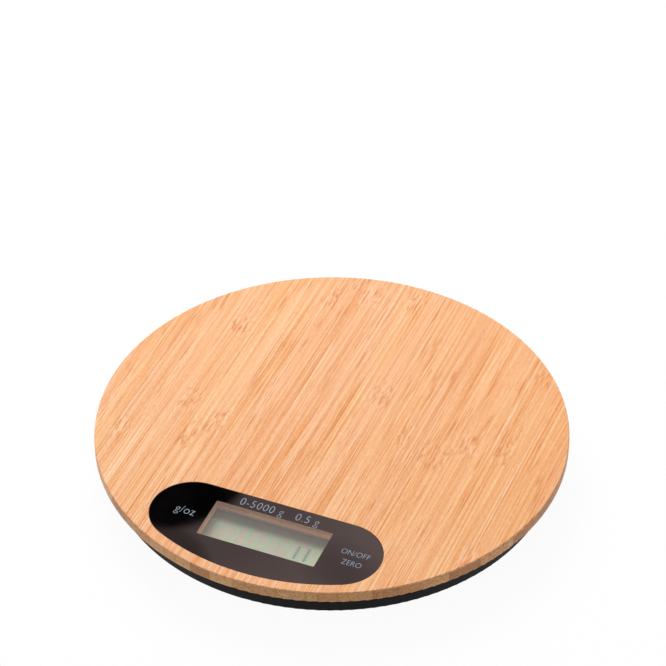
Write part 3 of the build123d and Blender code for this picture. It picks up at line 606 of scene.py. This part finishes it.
# %% Plain finishes from one recipe
CLOUD = {"per_mm": 0.05, "shift": (2, 7, 1)}
FINE = {"detail": 3.0, "roughness": 0.6}
FINE_SHARE = 0.6
BUMP_STRENGTH = 0.5
PLAIN = {
    "base_black": ((18, 17, 18), (25, 24, 25), (0.42, 0.55), 3.0, 0.012, 0.0, 0.06),
    "foot_black": ((26, 25, 25), (36, 34, 34), (0.35, 0.5), 4.0, 0.012, 0.0, 0.3),
    "pad_rubber": ((74, 74, 76), (92, 91, 92), (0.65, 0.80), 1.6, 0.03),
    "tape": ((226, 222, 210), (240, 237, 228), (0.6, 0.75), 0.9, 0.02),
    "foam": ((28, 28, 29), (48, 47, 47), (0.85, 0.95), 2.2, 0.15),
    "holder_white": ((222, 222, 216), (234, 233, 228), (0.4, 0.5), 2.0, 0.01),
    "zebra": ((24, 24, 26), (206, 202, 196), (0.55, 0.65), (6.0, 0.02, 0.02), 0.01),
    "board_green": ((14, 68, 40), (28, 104, 62), (0.28, 0.38), 0.35, 0.02),
    "resin": ((16, 16, 17), (26, 25, 26), (0.18, 0.28), 0.5, 0.03),
    "component": ((60, 50, 42), (122, 104, 84), (0.4, 0.5), 0.8, 0.01),
    "socket": ((226, 221, 206), (240, 236, 224), (0.4, 0.5), 1.6, 0.01),
    "conductive_rubber": ((32, 32, 33), (50, 49, 49), (0.6, 0.75), 2.0, 0.02),
    "steel": ((176, 176, 178), (206, 206, 206), (0.24, 0.34), 2.0, 0.004, 1.0),
    "sensor_steel": ((158, 158, 160), (192, 192, 192), (0.3, 0.42), (4, 0.1, 4), 0.006, 1.0),
    "gauge_coat": ((212, 206, 190), (234, 229, 216), (0.3, 0.45), 0.5, 0.05),
    "lead_skin": ((150, 26, 24), (186, 40, 34), (0.4, 0.5), 1.2, 0.01),
    "cell_metal": ((196, 196, 194), (224, 223, 220), (0.35, 0.5), (0.3, 3.0, 0.3), 0.004, 0.6),
    # the panel's cut edge: a painted reflection of the board, not the panel's own colour
    "cut_edge_painted_reflection": ((198, 152, 124), (214, 168, 138), (0.5, 0.6), 0.4, 0.004),
    "smooth_black": ((30, 29, 30), (38, 37, 38), (0.25, 0.35), 3.0, 0.006, 0.0, 0.35),
}


def textured(name, low, high, rough, per_mm, depth_mm, metallic=0.0, gloss=0.5):
    finish, tree, shader = new_finish(
        name, high, rough[1], Metallic=metallic, Specular_IOR_Level=gloss,
    )
    place = millimetres(tree)
    fine = noise(tree, place, per_mm, **FINE)
    body = weighted(tree, fine, FINE_SHARE, noise(tree, place, **CLOUD))
    connect(
        tree, shader,
        Base_Color=ramp(tree, body, [(0.35, srgb(*low)), (0.65, srgb(*high))]),
        Roughness=span(tree, fine, *MOST_NOISE, *rough),
        Normal=bump(tree, fine, depth_mm, BUMP_STRENGTH),
    )
    return finish


FINISHES = {name: textured(name, *row) for name, row in PLAIN.items()}
FINISHES.update(bamboo=BAMBOO, panel_black=PANEL, clear_acrylic=PANE, lcd=DISPLAY)
print(len(FINISHES), "finishes: the record's materials, the panel's cut edge and the door's own")

# %% [markdown]
# ## Dressing the CAD pieces
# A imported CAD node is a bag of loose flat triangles, which shades in facets. The pieces that show
# get a copy: its corners are merged, curved faces are shaded smooth, and edges sharper than about
# thirty degrees stay crisp. Weighting the normals by face area keeps the big flat faces flat right
# up to their rounded edges. Modelling the pieces again would give cleaner faces but could drift
# from the CAD, where a copy keeps its shapes exactly.

# %% Copy, shade and place a piece
SLOT_OF = {row["node"]: row["material_slot"] for row in frame["record"]["subparts"]}
BODIES = frame["record"]["behaviour"]["bodies"]
BODY_OF = {node: body for body, nodes in BODIES.items() for node in nodes}
MERGE = 1e-6
CREASE = math.radians(32)


def put(name, mesh, body, finish):
    """A new piece of the object, made of a mesh that is already in its place."""
    piece = show(name, mesh)
    mesh.materials.clear()
    mesh.materials.append(finish)
    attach(piece, body)
    return piece


def mesh_of(work, name):
    """Ends the work on a bmesh and keeps it as a mesh."""
    mesh = bpy.data.meshes.new(name)
    work.to_mesh(mesh)
    work.free()
    return mesh


def shade(mesh):
    """Merges loose corners, shades curved faces smooth and keeps sharp edges."""
    work = bmesh.new()
    work.from_mesh(mesh)
    bmesh.ops.remove_doubles(work, verts=work.verts, dist=MERGE)
    for face in work.faces:
        face.smooth = True
    for edge in work.edges:
        edge.smooth = edge.calc_face_angle(0.0) < CREASE
    work.to_mesh(mesh)
    work.free()


def dress(node, name):
    """A smooth copy of a CAD node that stands for it."""
    source = bmesh.new()
    source.from_mesh(frame["nodes"][node].data)
    mesh = mesh_of(source, name)
    shade(mesh)
    piece = put(name, mesh, BODY_OF[node], FINISHES[SLOT_OF[node]])
    weigh = piece.modifiers.new("even_normals", "WEIGHTED_NORMAL")
    weigh.keep_sharp = True
    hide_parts(node)
    return piece


# %% [markdown]
# The copies now stand for the nodes that show. Inner pieces keep their node and only get a finish.

# %% Dress the nodes that show
FEET = ("front_left", "front_right", "rear_left", "rear_right")
SHOWN = {
    "bamboo_platform": "bamboo_disc",
    "display_panel": "glossy_panel",
    "display_window": "clear_pane",
    "lcd_cell": "display_cell",
    "base_shell": "moulded_base",
    "base_screws": "base_screw_set",
    "battery_door": "bay_door",
    "coin_cell": "flat_cell",
    "battery_negative_contact": "negative_strip",
    "battery_positive_contact": "positive_strip",
}
SHOWN.update({f"foot_{place}": f"load_foot_{place}" for place in FEET})
dressed = {node: dress(node, name) for node, name in SHOWN.items()}
inner = [node for node in frame["nodes"] if node not in SHOWN]
for node in inner:
    for holder in frame["nodes"][node].material_slots:
        holder.material = FINISHES[SLOT_OF[node]]
print(len(dressed), "pieces dressed and", len(inner), "inner nodes finished")

# %% [markdown]
# Two pieces need a second look. Seen through the pane, the cut edge of the panel's window mirrors
# the brown of the board below it, so those faces get a finish of their own with that brown painted
# on, a painted reflection of the board. The battery door comes from a more polished mould than the
# base round it.

# %% Cut edge of the panel and smoother door
EDGE_REACH = 0.2 * MM
STEEP = 0.5

low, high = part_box("display_window")
panel = dressed["display_panel"].data
# the window's cut edge gets the painted reflection of the board
panel.materials.append(FINISHES["cut_edge_painted_reflection"])
for face in panel.polygons:
    beside = low.x - EDGE_REACH < face.center.x < high.x + EDGE_REACH
    behind = low.y - EDGE_REACH < face.center.y < high.y + EDGE_REACH
    if beside and behind and abs(face.normal.z) < STEEP:
        face.material_index = 1
dressed["battery_door"].data.materials[0] = FINISHES["smooth_black"]
print(sum(face.material_index for face in panel.polygons), "faces on the panel's cut edge")

# %% [markdown]
# ## Geometry Nodes helpers
# The grip rings of the foot pads, the display's segments and the grip ridges of the battery door
# all repeat, so each is a small Geometry Nodes tree with named sizes. Running the tree and keeping
# its result as a plain mesh leaves nothing live on the finished piece.


# %% Build and run node trees
def growing_tree(name, sizes):
    """An empty tree with a mesh coming in, a mesh going out and a named input for each size."""
    tree = bpy.data.node_groups.new(name, "GeometryNodeTree")
    tree.interface.new_socket("Geometry", in_out="OUTPUT", socket_type="NodeSocketGeometry")
    tree.interface.new_socket("Geometry", in_out="INPUT", socket_type="NodeSocketGeometry")
    for label, value in sizes.items():
        kind = "NodeSocketInt" if isinstance(value, int) else "NodeSocketFloat"
        tree.interface.new_socket(label, in_out="INPUT", socket_type=kind)
    return tree, tree.nodes.new("NodeGroupInput").outputs, tree.nodes.new("NodeGroupOutput")


def close_tree(tree, way_out, geometry, finish):
    """Makes the copies real, gives them their finish and ends the tree."""
    real = result(tree, "GeometryNodeRealizeInstances", {0: geometry})
    painted = result(tree, "GeometryNodeSetMaterial", {"Geometry": real, "Material": finish})
    tree.links.new(painted, way_out.inputs[0])


def tube(tree, line, thickness, sides, caps=False):
    """A round bar along a line."""
    inputs = {"Resolution": sides, "Radius": thickness}
    profile = result(tree, "GeometryNodeCurvePrimitiveCircle", inputs)
    inputs = {"Curve": line, "Profile Curve": profile, "Fill Caps": caps}
    return result(tree, "GeometryNodeCurveToMesh", inputs)


def frozen(thing, name):
    """The finished shape of an object as a plain mesh; the object itself goes."""
    depsgraph = bpy.context.evaluated_depsgraph_get()
    shape = thing.evaluated_get(depsgraph)
    mesh = bpy.data.meshes.new_from_object(shape, depsgraph=depsgraph)
    bpy.data.objects.remove(thing)
    mesh.name = name
    return mesh


def grow(name, start, tree, sizes):
    """Runs a tree over a mesh with these sizes and returns the result as a plain mesh."""
    carrier = show(name + "_carrier", start)
    modifier = carrier.modifiers.new("grow", "NODES")
    modifier.node_group = tree
    for item in tree.interface.items_tree:
        if item.name in sizes:
            modifier[item.identifier] = sizes[item.name]
    return frozen(carrier, name)


print("Geometry Nodes helpers ready")

# %% [markdown]
# ## Rubber pads
# Each foot stands on a round rubber pad. Smooth rubber looks like more black plastic, and real pads
# are ridged so that they grip, so the pad is turned a little thinner than its CAD solid and gets
# rings that reach down to the table. The rings share one centre and differ only in radius: one
# circle copied along a row of points and scaled by its number in the row makes them all.

# %% Tree of the pad rings
PAD_RINGS = {
    "Rings": 5,
    "First Radius": 2.0 * MM,
    "Ring Pitch": 1.5 * MM,
    "Ring Thickness": 0.25 * MM,
}
RING_CORNERS = 72
RING_SIDES = 8


def ring_tree():
    tree, sizes, way_out = growing_tree("pad_rings", PAD_RINGS)
    inputs = {"Count": sizes["Rings"], "Offset": (0, 0, 0)}
    row = result(tree, "GeometryNodeMeshLine", inputs)
    step = times(tree, result(tree, "GeometryNodeInputIndex"), sizes["Ring Pitch"])
    radius = math_node(tree, "ADD", step, sizes["First Radius"])
    inputs = {"Resolution": RING_CORNERS, "Radius": 1.0}
    circle = result(tree, "GeometryNodeCurvePrimitiveCircle", inputs)
    scale = result(tree, "ShaderNodeCombineXYZ", {0: radius, 1: radius, 2: 1.0})
    inputs = {"Points": row, "Instance": circle, "Scale": scale}
    rings = result(tree, "GeometryNodeInstanceOnPoints", inputs)
    lines = result(tree, "GeometryNodeRealizeInstances", {0: rings})
    tubes = tube(tree, lines, sizes["Ring Thickness"], RING_SIDES)
    lift = result(tree, "ShaderNodeCombineXYZ", {2: sizes["Ring Thickness"]})
    tubes = result(tree, "GeometryNodeSetPosition", {"Geometry": tubes, "Offset": lift})
    both = add(tree, "GeometryNodeJoinGeometry", {0: tubes})
    tree.links.new(sizes["Geometry"], both.inputs[0])
    close_tree(tree, way_out, both.outputs[0], FINISHES["pad_rubber"])
    return tree


PAD_TREE = ring_tree()
print("pad rings:", len(PAD_TREE.nodes), "nodes")

# %% [markdown]
# The pad itself is turned from a short profile with its lower edge broken, and the tree adds the
# rings to it.

# %% Ringed foot pads
PAD_EDGE = 0.2 * MM
PAD_SIDES = 96


def turned(name, profile, sides):
    """A solid turned about Z from (radius, height) points, closed where the radius is 0."""
    work = bmesh.new()
    rings = []
    for radius, height in profile:
        count = sides if radius > 0 else 1
        angles = [math.tau * i / count for i in range(count)]
        spots = [(radius * math.cos(a), radius * math.sin(a), height) for a in angles]
        rings.append([work.verts.new(spot) for spot in spots])
    for low, high in zip(rings, rings[1:]):
        for i in range(sides):
            j = (i + 1) % sides
            below = [low[i % len(low)], low[j % len(low)]]
            above = [high[j % len(high)], high[i % len(high)]]
            work.faces.new(list(dict.fromkeys(below + above)))
    bmesh.ops.recalc_face_normals(work, faces=work.faces)
    return mesh_of(work, name)


for place in FEET:
    low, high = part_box(f"foot_pad_{place}")
    middle = (low + high) / 2
    radius = (high.x - low.x) / 2
    floor_z = PAD_RINGS["Ring Thickness"]
    profile = [(0, floor_z), (radius - PAD_EDGE, floor_z), (radius, floor_z + PAD_EDGE)]
    profile += [(radius, high.z), (0, high.z)]
    blank = turned("pad_blank", profile, PAD_SIDES)
    mesh = grow(f"ringed_pad_{place}", blank, PAD_TREE, PAD_RINGS)
    mesh.transform(Matrix.Translation((middle.x, middle.y, 0)))
    shade(mesh)
    pad = put(f"ringed_pad_{place}", mesh, f"{place}_foot", FINISHES["pad_rubber"])
    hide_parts(f"foot_pad_{place}")
    print(pad.name, len(mesh.polygons), "faces")

# %% [markdown]
# ## Grip ridges on the battery door
# A thumb pulls the door by its latch tongue, and moulded ridges give it hold. They are short round
# bars half sunk in the tongue, a row of equal copies. A bump in the finish would do from afar, but
# it leaves the outline flat.

# %% Door ridges
DOOR_RIDGES = {
    "Ridges": 4,
    "Ridge Pitch": 1.3 * MM,
    "Ridge Length": 5.6 * MM,
    "Ridge Thickness": 0.3 * MM,
}
RIDGE_SIDES = 16
RIDGE_START = 1.6 * MM


def ridge_tree():
    tree, sizes, way_out = growing_tree("door_ridges", DOOR_RIDGES)
    offset = result(tree, "ShaderNodeCombineXYZ", {1: sizes["Ridge Pitch"]})
    row = result(tree, "GeometryNodeMeshLine", {"Count": sizes["Ridges"], "Offset": offset})
    half = times(tree, sizes["Ridge Length"], 0.5)
    end = result(tree, "ShaderNodeCombineXYZ", {0: half})
    start = result(tree, "ShaderNodeCombineXYZ", {0: times(tree, half, -1.0)})
    line = result(tree, "GeometryNodeCurvePrimitiveLine", {"Start": start, "End": end})
    ridge = tube(tree, line, sizes["Ridge Thickness"], RIDGE_SIDES, caps=True)
    ridges = result(tree, "GeometryNodeInstanceOnPoints", {"Points": row, "Instance": ridge})
    close_tree(tree, way_out, ridges, FINISHES["base_black"])
    return tree


low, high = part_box("battery_door")
mesh = grow("door_grip", bpy.data.meshes.new("door_grip_start"), ridge_tree(), DOOR_RIDGES)
mesh.transform(Matrix.Translation((0, low.y + RIDGE_START, low.z)))
shade(mesh)
put("door_grip", mesh, "door", FINISHES["base_black"])
print("door grip:", len(mesh.polygons), "faces")

# %% [markdown]
# ## The display's segments
# With the scale switched off, the segments of the display show only as faint ghosts under a slant
# of light. A seven-segment figure is drawn once as thin bars and repeated along the display. Its
# ink is almost clear. Printing it into the display's finish would tie it to that one shader, where
# flat bars a hair above the cell can be moved and counted.

# %% Ghost figures
FIGURES = {"Figures": 4, "Figure Pitch": 8.5 * MM}
FIGURE_HALF_WIDTH = 2.2 * MM
FIGURE_HALF_HEIGHT = 4.3 * MM
SEGMENT_HALF = 0.5 * MM
SEGMENT_GAP = 0.18 * MM
LAST_FIGURE = Vector((16.3, -71.0, 0)) * MM
INK_LIFT = 0.02 * MM
INK_ROUGHNESS = 0.35
INK_PATCH = 12
GHOST_ALPHA = 0.03


def ink_finish(name, colour, alpha):
    finish, tree, shader = new_finish(name, colour, INK_ROUGHNESS, Alpha=alpha)
    patchy = noise(tree, millimetres(tree), 0.5)
    pale = [min(255, c + INK_PATCH) for c in colour]
    shades = [(0.35, srgb(*colour)), (0.65, srgb(*pale))]
    connect(tree, shader, Base_Color=ramp(tree, patchy, shades))
    return finish


def bar(work, start, end, half=SEGMENT_HALF):
    """A flat bar with pointed ends between two points."""
    start, end = Vector(start), Vector(end)
    along = (end - start).normalized()
    side = Vector((-along.y, along.x)) * half
    nose = along * half
    first, last = start + along * SEGMENT_GAP, end - along * SEGMENT_GAP
    outline = [first, first + nose - side, last - nose - side]
    outline += [last, last - nose + side, first + nose + side]
    work.faces.new([work.verts.new((p.x, p.y, 0)) for p in outline])


def figure_mesh():
    """A figure with all of its seven segments."""
    work = bmesh.new()
    w, h = FIGURE_HALF_WIDTH, FIGURE_HALF_HEIGHT
    corners = [(-w, -h), (w, -h), (-w, 0), (w, 0), (-w, h), (w, h)]
    for a, b in ((0, 1), (2, 3), (4, 5), (0, 2), (2, 4), (1, 3), (3, 5)):
        bar(work, corners[a], corners[b])
    return mesh_of(work, "figure")


def figure_tree(finish):
    tree, sizes, way_out = growing_tree("figure_row", FIGURES)
    back_step = times(tree, sizes["Figure Pitch"], -1.0)
    offset = result(tree, "ShaderNodeCombineXYZ", {0: back_step})
    row = result(tree, "GeometryNodeMeshLine", {"Count": sizes["Figures"], "Offset": offset})
    inputs = {"Points": row, "Instance": sizes["Geometry"]}
    figures = result(tree, "GeometryNodeInstanceOnPoints", inputs)
    close_tree(tree, way_out, figures, finish)
    return tree


GHOST = ink_finish("ghost_segments", (104, 122, 128), GHOST_ALPHA)
lcd_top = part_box("lcd_cell")[1].z
mesh = grow("ghost_figures", figure_mesh(), figure_tree(GHOST), FIGURES)
mesh.transform(Matrix.Translation(LAST_FIGURE + Vector((0, 0, lcd_top + INK_LIFT))))
put("ghost_figures", mesh, "housing", GHOST)
print("ghost figures:", len(mesh.polygons), "segments")

# %% [markdown]
# The two uprights of the last figure stand out more, as soft bars without a clear edge. Ink that
# fades out across each bar does this with a single layer. More layers of faint ink would soften the
# edge too, but light is only let through a few clear surfaces before it is taken for lost.

# %% Bars of the last figure
BAR_HALF = 1.0 * MM
BAR_CORE = 0.1
BAR_ALPHA = 0.30
BAR_MEAN_ALPHA = 0.12


def soft_ink():
    """Ink that fades away from the middle line of either bar."""
    finish, tree, shader = new_finish(
        "last_bars", (100, 114, 146), INK_ROUGHNESS, Alpha=BAR_MEAN_ALPHA,
    )
    across = axes_of(tree, millimetres(tree))["X"]
    for middle in (LAST_FIGURE.x, FIGURE_HALF_WIDTH):
        across = math_node(tree, "ABSOLUTE", math_node(tree, "SUBTRACT", across, middle / MM))
    connect(tree, shader, Alpha=span(tree, across, BAR_CORE, BAR_HALF / MM, BAR_ALPHA, 0.0))
    return finish


def upright_bars():
    """The two upright strokes of one figure."""
    work = bmesh.new()
    for side in (-FIGURE_HALF_WIDTH, FIGURE_HALF_WIDTH):
        bar(work, (side, -FIGURE_HALF_HEIGHT), (side, FIGURE_HALF_HEIGHT), BAR_HALF)
    return mesh_of(work, "last_bars")


BARS = soft_ink()
mesh = upright_bars()
mesh.transform(Matrix.Translation(LAST_FIGURE + Vector((0, 0, lcd_top + 2 * INK_LIFT))))
put("last_bars", mesh, "housing", BARS)
print("last figure:", len(mesh.polygons), "bars that show more")

# %% [markdown]
# ## Legends
# The panel carries thin pale printing over the two touch keys and above the display. Text objects
# give clean letters, thinned and drawn out a little to look like such printing. Each is turned into
# a mesh first and then laid on the panel, a hair above its surface and below the top of the disc.
#
# A row holds the words, the middle and the width of the line in millimetres, and the spacing.

# %% Printed legends
LEGEND_ALPHA = 0.95
LEGEND = ink_finish("legend_ink", (150, 165, 182), LEGEND_ALPHA)
LEGENDS = {
    "legend_units": ("g/oz", (-35.4, -71.0), 8.6, 1.0),
    "legend_range": ("0-5000 g   0.5 g", (0.8, -57.5), 34.8, 1.10),
    "legend_power": ("ON/OFF", (38.7, -67.9), 12.2, 1.0),
    "legend_zero": ("ZERO", (39.1, -73.6), 8.4, 1.0),
}
PRINT_LIFT = 0.03 * MM
LETTER_CORNERS = 6
LETTER_THINNING = -0.018
LETTER_STRETCH = 1.22


def legend(name, words, middle, width, spacing):
    """Letters of a given width, centred on a place of the panel."""
    curve = bpy.data.curves.new(name, "FONT")
    curve.body = words
    curve.align_x = "CENTER"
    curve.align_y = "CENTER"
    curve.resolution_u = LETTER_CORNERS
    curve.offset = LETTER_THINNING
    curve.space_character = spacing
    mesh = frozen(show(name + "_writer", curve), name)
    xs = [v.co.x for v in mesh.vertices]
    ys = [v.co.y for v in mesh.vertices]
    scale = width * MM / (max(xs) - min(xs))
    tall = scale * LETTER_STRETCH
    centre = Vector(((max(xs) + min(xs)) / 2, (max(ys) + min(ys)) / 2, 0))
    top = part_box("display_panel")[1].z + PRINT_LIFT
    mesh.transform(Matrix.Translation(-centre))
    mesh.transform(Matrix.Diagonal((scale, tall, scale, 1)))
    mesh.transform(Matrix.Translation((middle[0] * MM, middle[1] * MM, top)))
    put(name, mesh, "housing", LEGEND)
    print(name, "letters", round(tall * (max(ys) - min(ys)) / MM, 1), "mm high")


for name, row in LEGENDS.items():
    legend(name, *row)

# %% [markdown]
# ## White room
# The picture has a plain white ground. The room shows as pure white to the camera and in
# reflections, and at a lower level to everything else, so that the light on the object stays plain.
# That lower level is dimmer on the near side, brighter off the floor, and brightest low down to the
# left and right, as between two white side walls. So the rim is darkest at the front, as in the
# picture. Side lamps could do the same but would lay more shadows.

# %% White room
ROOM_LIGHT = 0.36
FLOOR_GLOW = 0.60
HORIZON = (-0.1, 0.1)
NEAR_SIDE = Vector((0.386, -0.922, 0.0))
NEAR_FADE = (0.3, 0.8)
NEAR_SHARE = 0.45
SIDE_GLOW = 1.9
SIDE_RISE = 0.5
SIDE_STARTS = (-0.4, 0.1)
SIDE_ENDS = (0.3, 0.7)


def white_room():
    world = bpy.data.worlds.new("white_room")
    world.use_nodes = True
    bpy.context.scene.world = world
    tree = world.node_tree
    rays = add(tree, "ShaderNodeLightPath").outputs
    seen = math_node(tree, "MAXIMUM", rays["Is Camera Ray"], rays["Is Glossy Ray"])
    seen = math_node(tree, "MAXIMUM", seen, rays["Is Transmission Ray"])
    way = add(tree, "ShaderNodeTexCoord").outputs["Generated"]
    rise = axes_of(tree, way)["Z"]
    inputs = {0: way, 1: NEAR_SIDE}
    near = add(tree, "ShaderNodeVectorMath", inputs, operation="DOT_PRODUCT").outputs["Value"]
    level = span(tree, rise, *HORIZON, FLOOR_GLOW, ROOM_LIGHT)
    level = times(tree, level, span(tree, near, *NEAR_FADE, 1.0, NEAR_SHARE))
    glow = span(tree, math_node(tree, "ABSOLUTE", rise), 0.0, SIDE_RISE, SIDE_GLOW, 0.0)
    beside = times(tree, span(tree, near, *SIDE_STARTS), span(tree, near, *SIDE_ENDS, 1.0, 0.0))
    level = math_node(tree, "ADD", level, times(tree, glow, beside))
    inputs = {"Value": seen, "To Min": level, "To Max": 1.0}
    strength = result(tree, "ShaderNodeMapRange", inputs)
    background = tree.nodes["Background"]
    background.inputs["Color"].default_value = (1, 1, 1, 1)
    tree.links.new(strength, background.inputs["Strength"])


white_room()
bpy.context.scene.view_settings.view_transform = "Standard"
print("room light", ROOM_LIGHT, "above,", FLOOR_GLOW, "below,", SIDE_GLOW, "more at the sides")

# %% [markdown]
# ## Floor
# A solid floor would show its edge against the white room. This one is nearly clear, so the room's
# white comes through, and its thin matt share is just enough to keep a faint shadow under the base.

# %% Floor
FLOOR_REACH = 6.0
FLOOR_BODY = 0.05


def veil(name, kind, colour):
    """A material that is clear in part; the factor of its mix says how much shows."""
    finish = bpy.data.materials.new(name)
    finish.use_nodes = True
    tree = finish.node_tree
    tree.nodes.remove(tree.nodes["Principled BSDF"])
    clear = result(tree, "ShaderNodeBsdfTransparent")
    body = result(tree, kind, {"Color": colour})
    mix = add(tree, "ShaderNodeMixShader", {1: clear, 2: body})
    tree.links.new(mix.outputs[0], tree.nodes["Material Output"].inputs["Surface"])
    return finish, tree, mix.inputs[0]


def pale_floor():
    work = bmesh.new()
    bmesh.ops.create_grid(work, x_segments=2, y_segments=2, size=FLOOR_REACH)
    floor = show("floor", mesh_of(work, "floor"))
    finish, _, factor = veil("pale_floor", "ShaderNodeBsdfDiffuse", srgb(250, 250, 250))
    factor.default_value = FLOOR_BODY
    floor.data.materials.append(finish)


pale_floor()
print("floor", 2 * FLOOR_REACH, "m across")

# %% [markdown]
# ## Soft lamp
# One large soft lamp stands behind, above and to the left. It brightens the top, leaves the front
# of the rim darker and lays the soft shadow of the window on the display. A small lamp would give
# hard shadows. Reflections don't see it, so the panel shows no white square.

# %% Soft lamp
LAMP_PLACE = Vector((-0.90, 1.38, 1.12))
LAMP_SIDE = 1.2
LAMP_POWER = 54.5

lamp = bpy.data.lights.new("soft_lamp", "AREA")
lamp.shape = "SQUARE"
lamp.size = LAMP_SIDE
lamp.energy = LAMP_POWER
holder = show("soft_lamp", lamp)
holder.location = LAMP_PLACE
holder.rotation_euler = (-LAMP_PLACE).to_track_quat("-Z", "Y").to_euler()
holder.visible_glossy = False
print("lamp at", [round(c, 2) for c in LAMP_PLACE])

# %% [markdown]
# ## Dark cards
# The panel mirrors the room, and a white room alone would make it evenly grey. In a studio, black
# cards are held up to shape such a surface. Three round ones, which only reflections see, leave
# the left end of the panel deep black and its right end and lower left a little dimmer.
#
# A row holds the card's middle, and how dark it is at a few distances from there in metres.

# %% Dark cards
CARD_CORNERS = 64
CARDS = {
    "dark_card": (
        (-0.490, 0.70, 0.732), [(0.129, 1.0), (0.136, 0.40), (0.170, 0.32), (0.230, 0.0)],
    ),
    "faint_card": (
        (-0.288, 0.71, 0.858), [(0.0, 0.42), (0.016, 0.34), (0.045, 0.0)],
    ),
    "low_card": (
        (-0.440, 0.72, 0.900), [(0.0, 0.60), (0.018, 0.50), (0.027, 0.36), (0.033, 0.0)],
    ),
}


def round_card(name, centre, fade):
    """A round upright card, dark in the middle and clear at the rim, that only reflections see."""
    work = bmesh.new()
    reach = fade[-1][0]
    stand = Matrix.Translation(centre) @ Matrix.Rotation(math.pi / 2, 4, "X")
    bmesh.ops.create_circle(
        work, cap_ends=True, segments=CARD_CORNERS, radius=reach, matrix=stand,
    )
    card = show(name, mesh_of(work, name))
    finish, tree, factor = veil(name, "ShaderNodeEmission", (0, 0, 0, 1))
    inputs = {0: add(tree, "ShaderNodeTexCoord").outputs["Object"], 1: centre}
    away = add(tree, "ShaderNodeVectorMath", inputs, operation="DISTANCE").outputs["Value"]
    stops = [(at / reach, (dark, dark, dark, 1)) for at, dark in fade]
    tree.links.new(ramp(tree, math_node(tree, "DIVIDE", away, reach), stops), factor)
    card.data.materials.append(finish)
    card.visible_camera = False
    card.visible_diffuse = False
    card.visible_transmission = False
    card.visible_shadow = False
    print(name, 2 * reach, "m across")


for name, row in CARDS.items():
    round_card(name, *row)
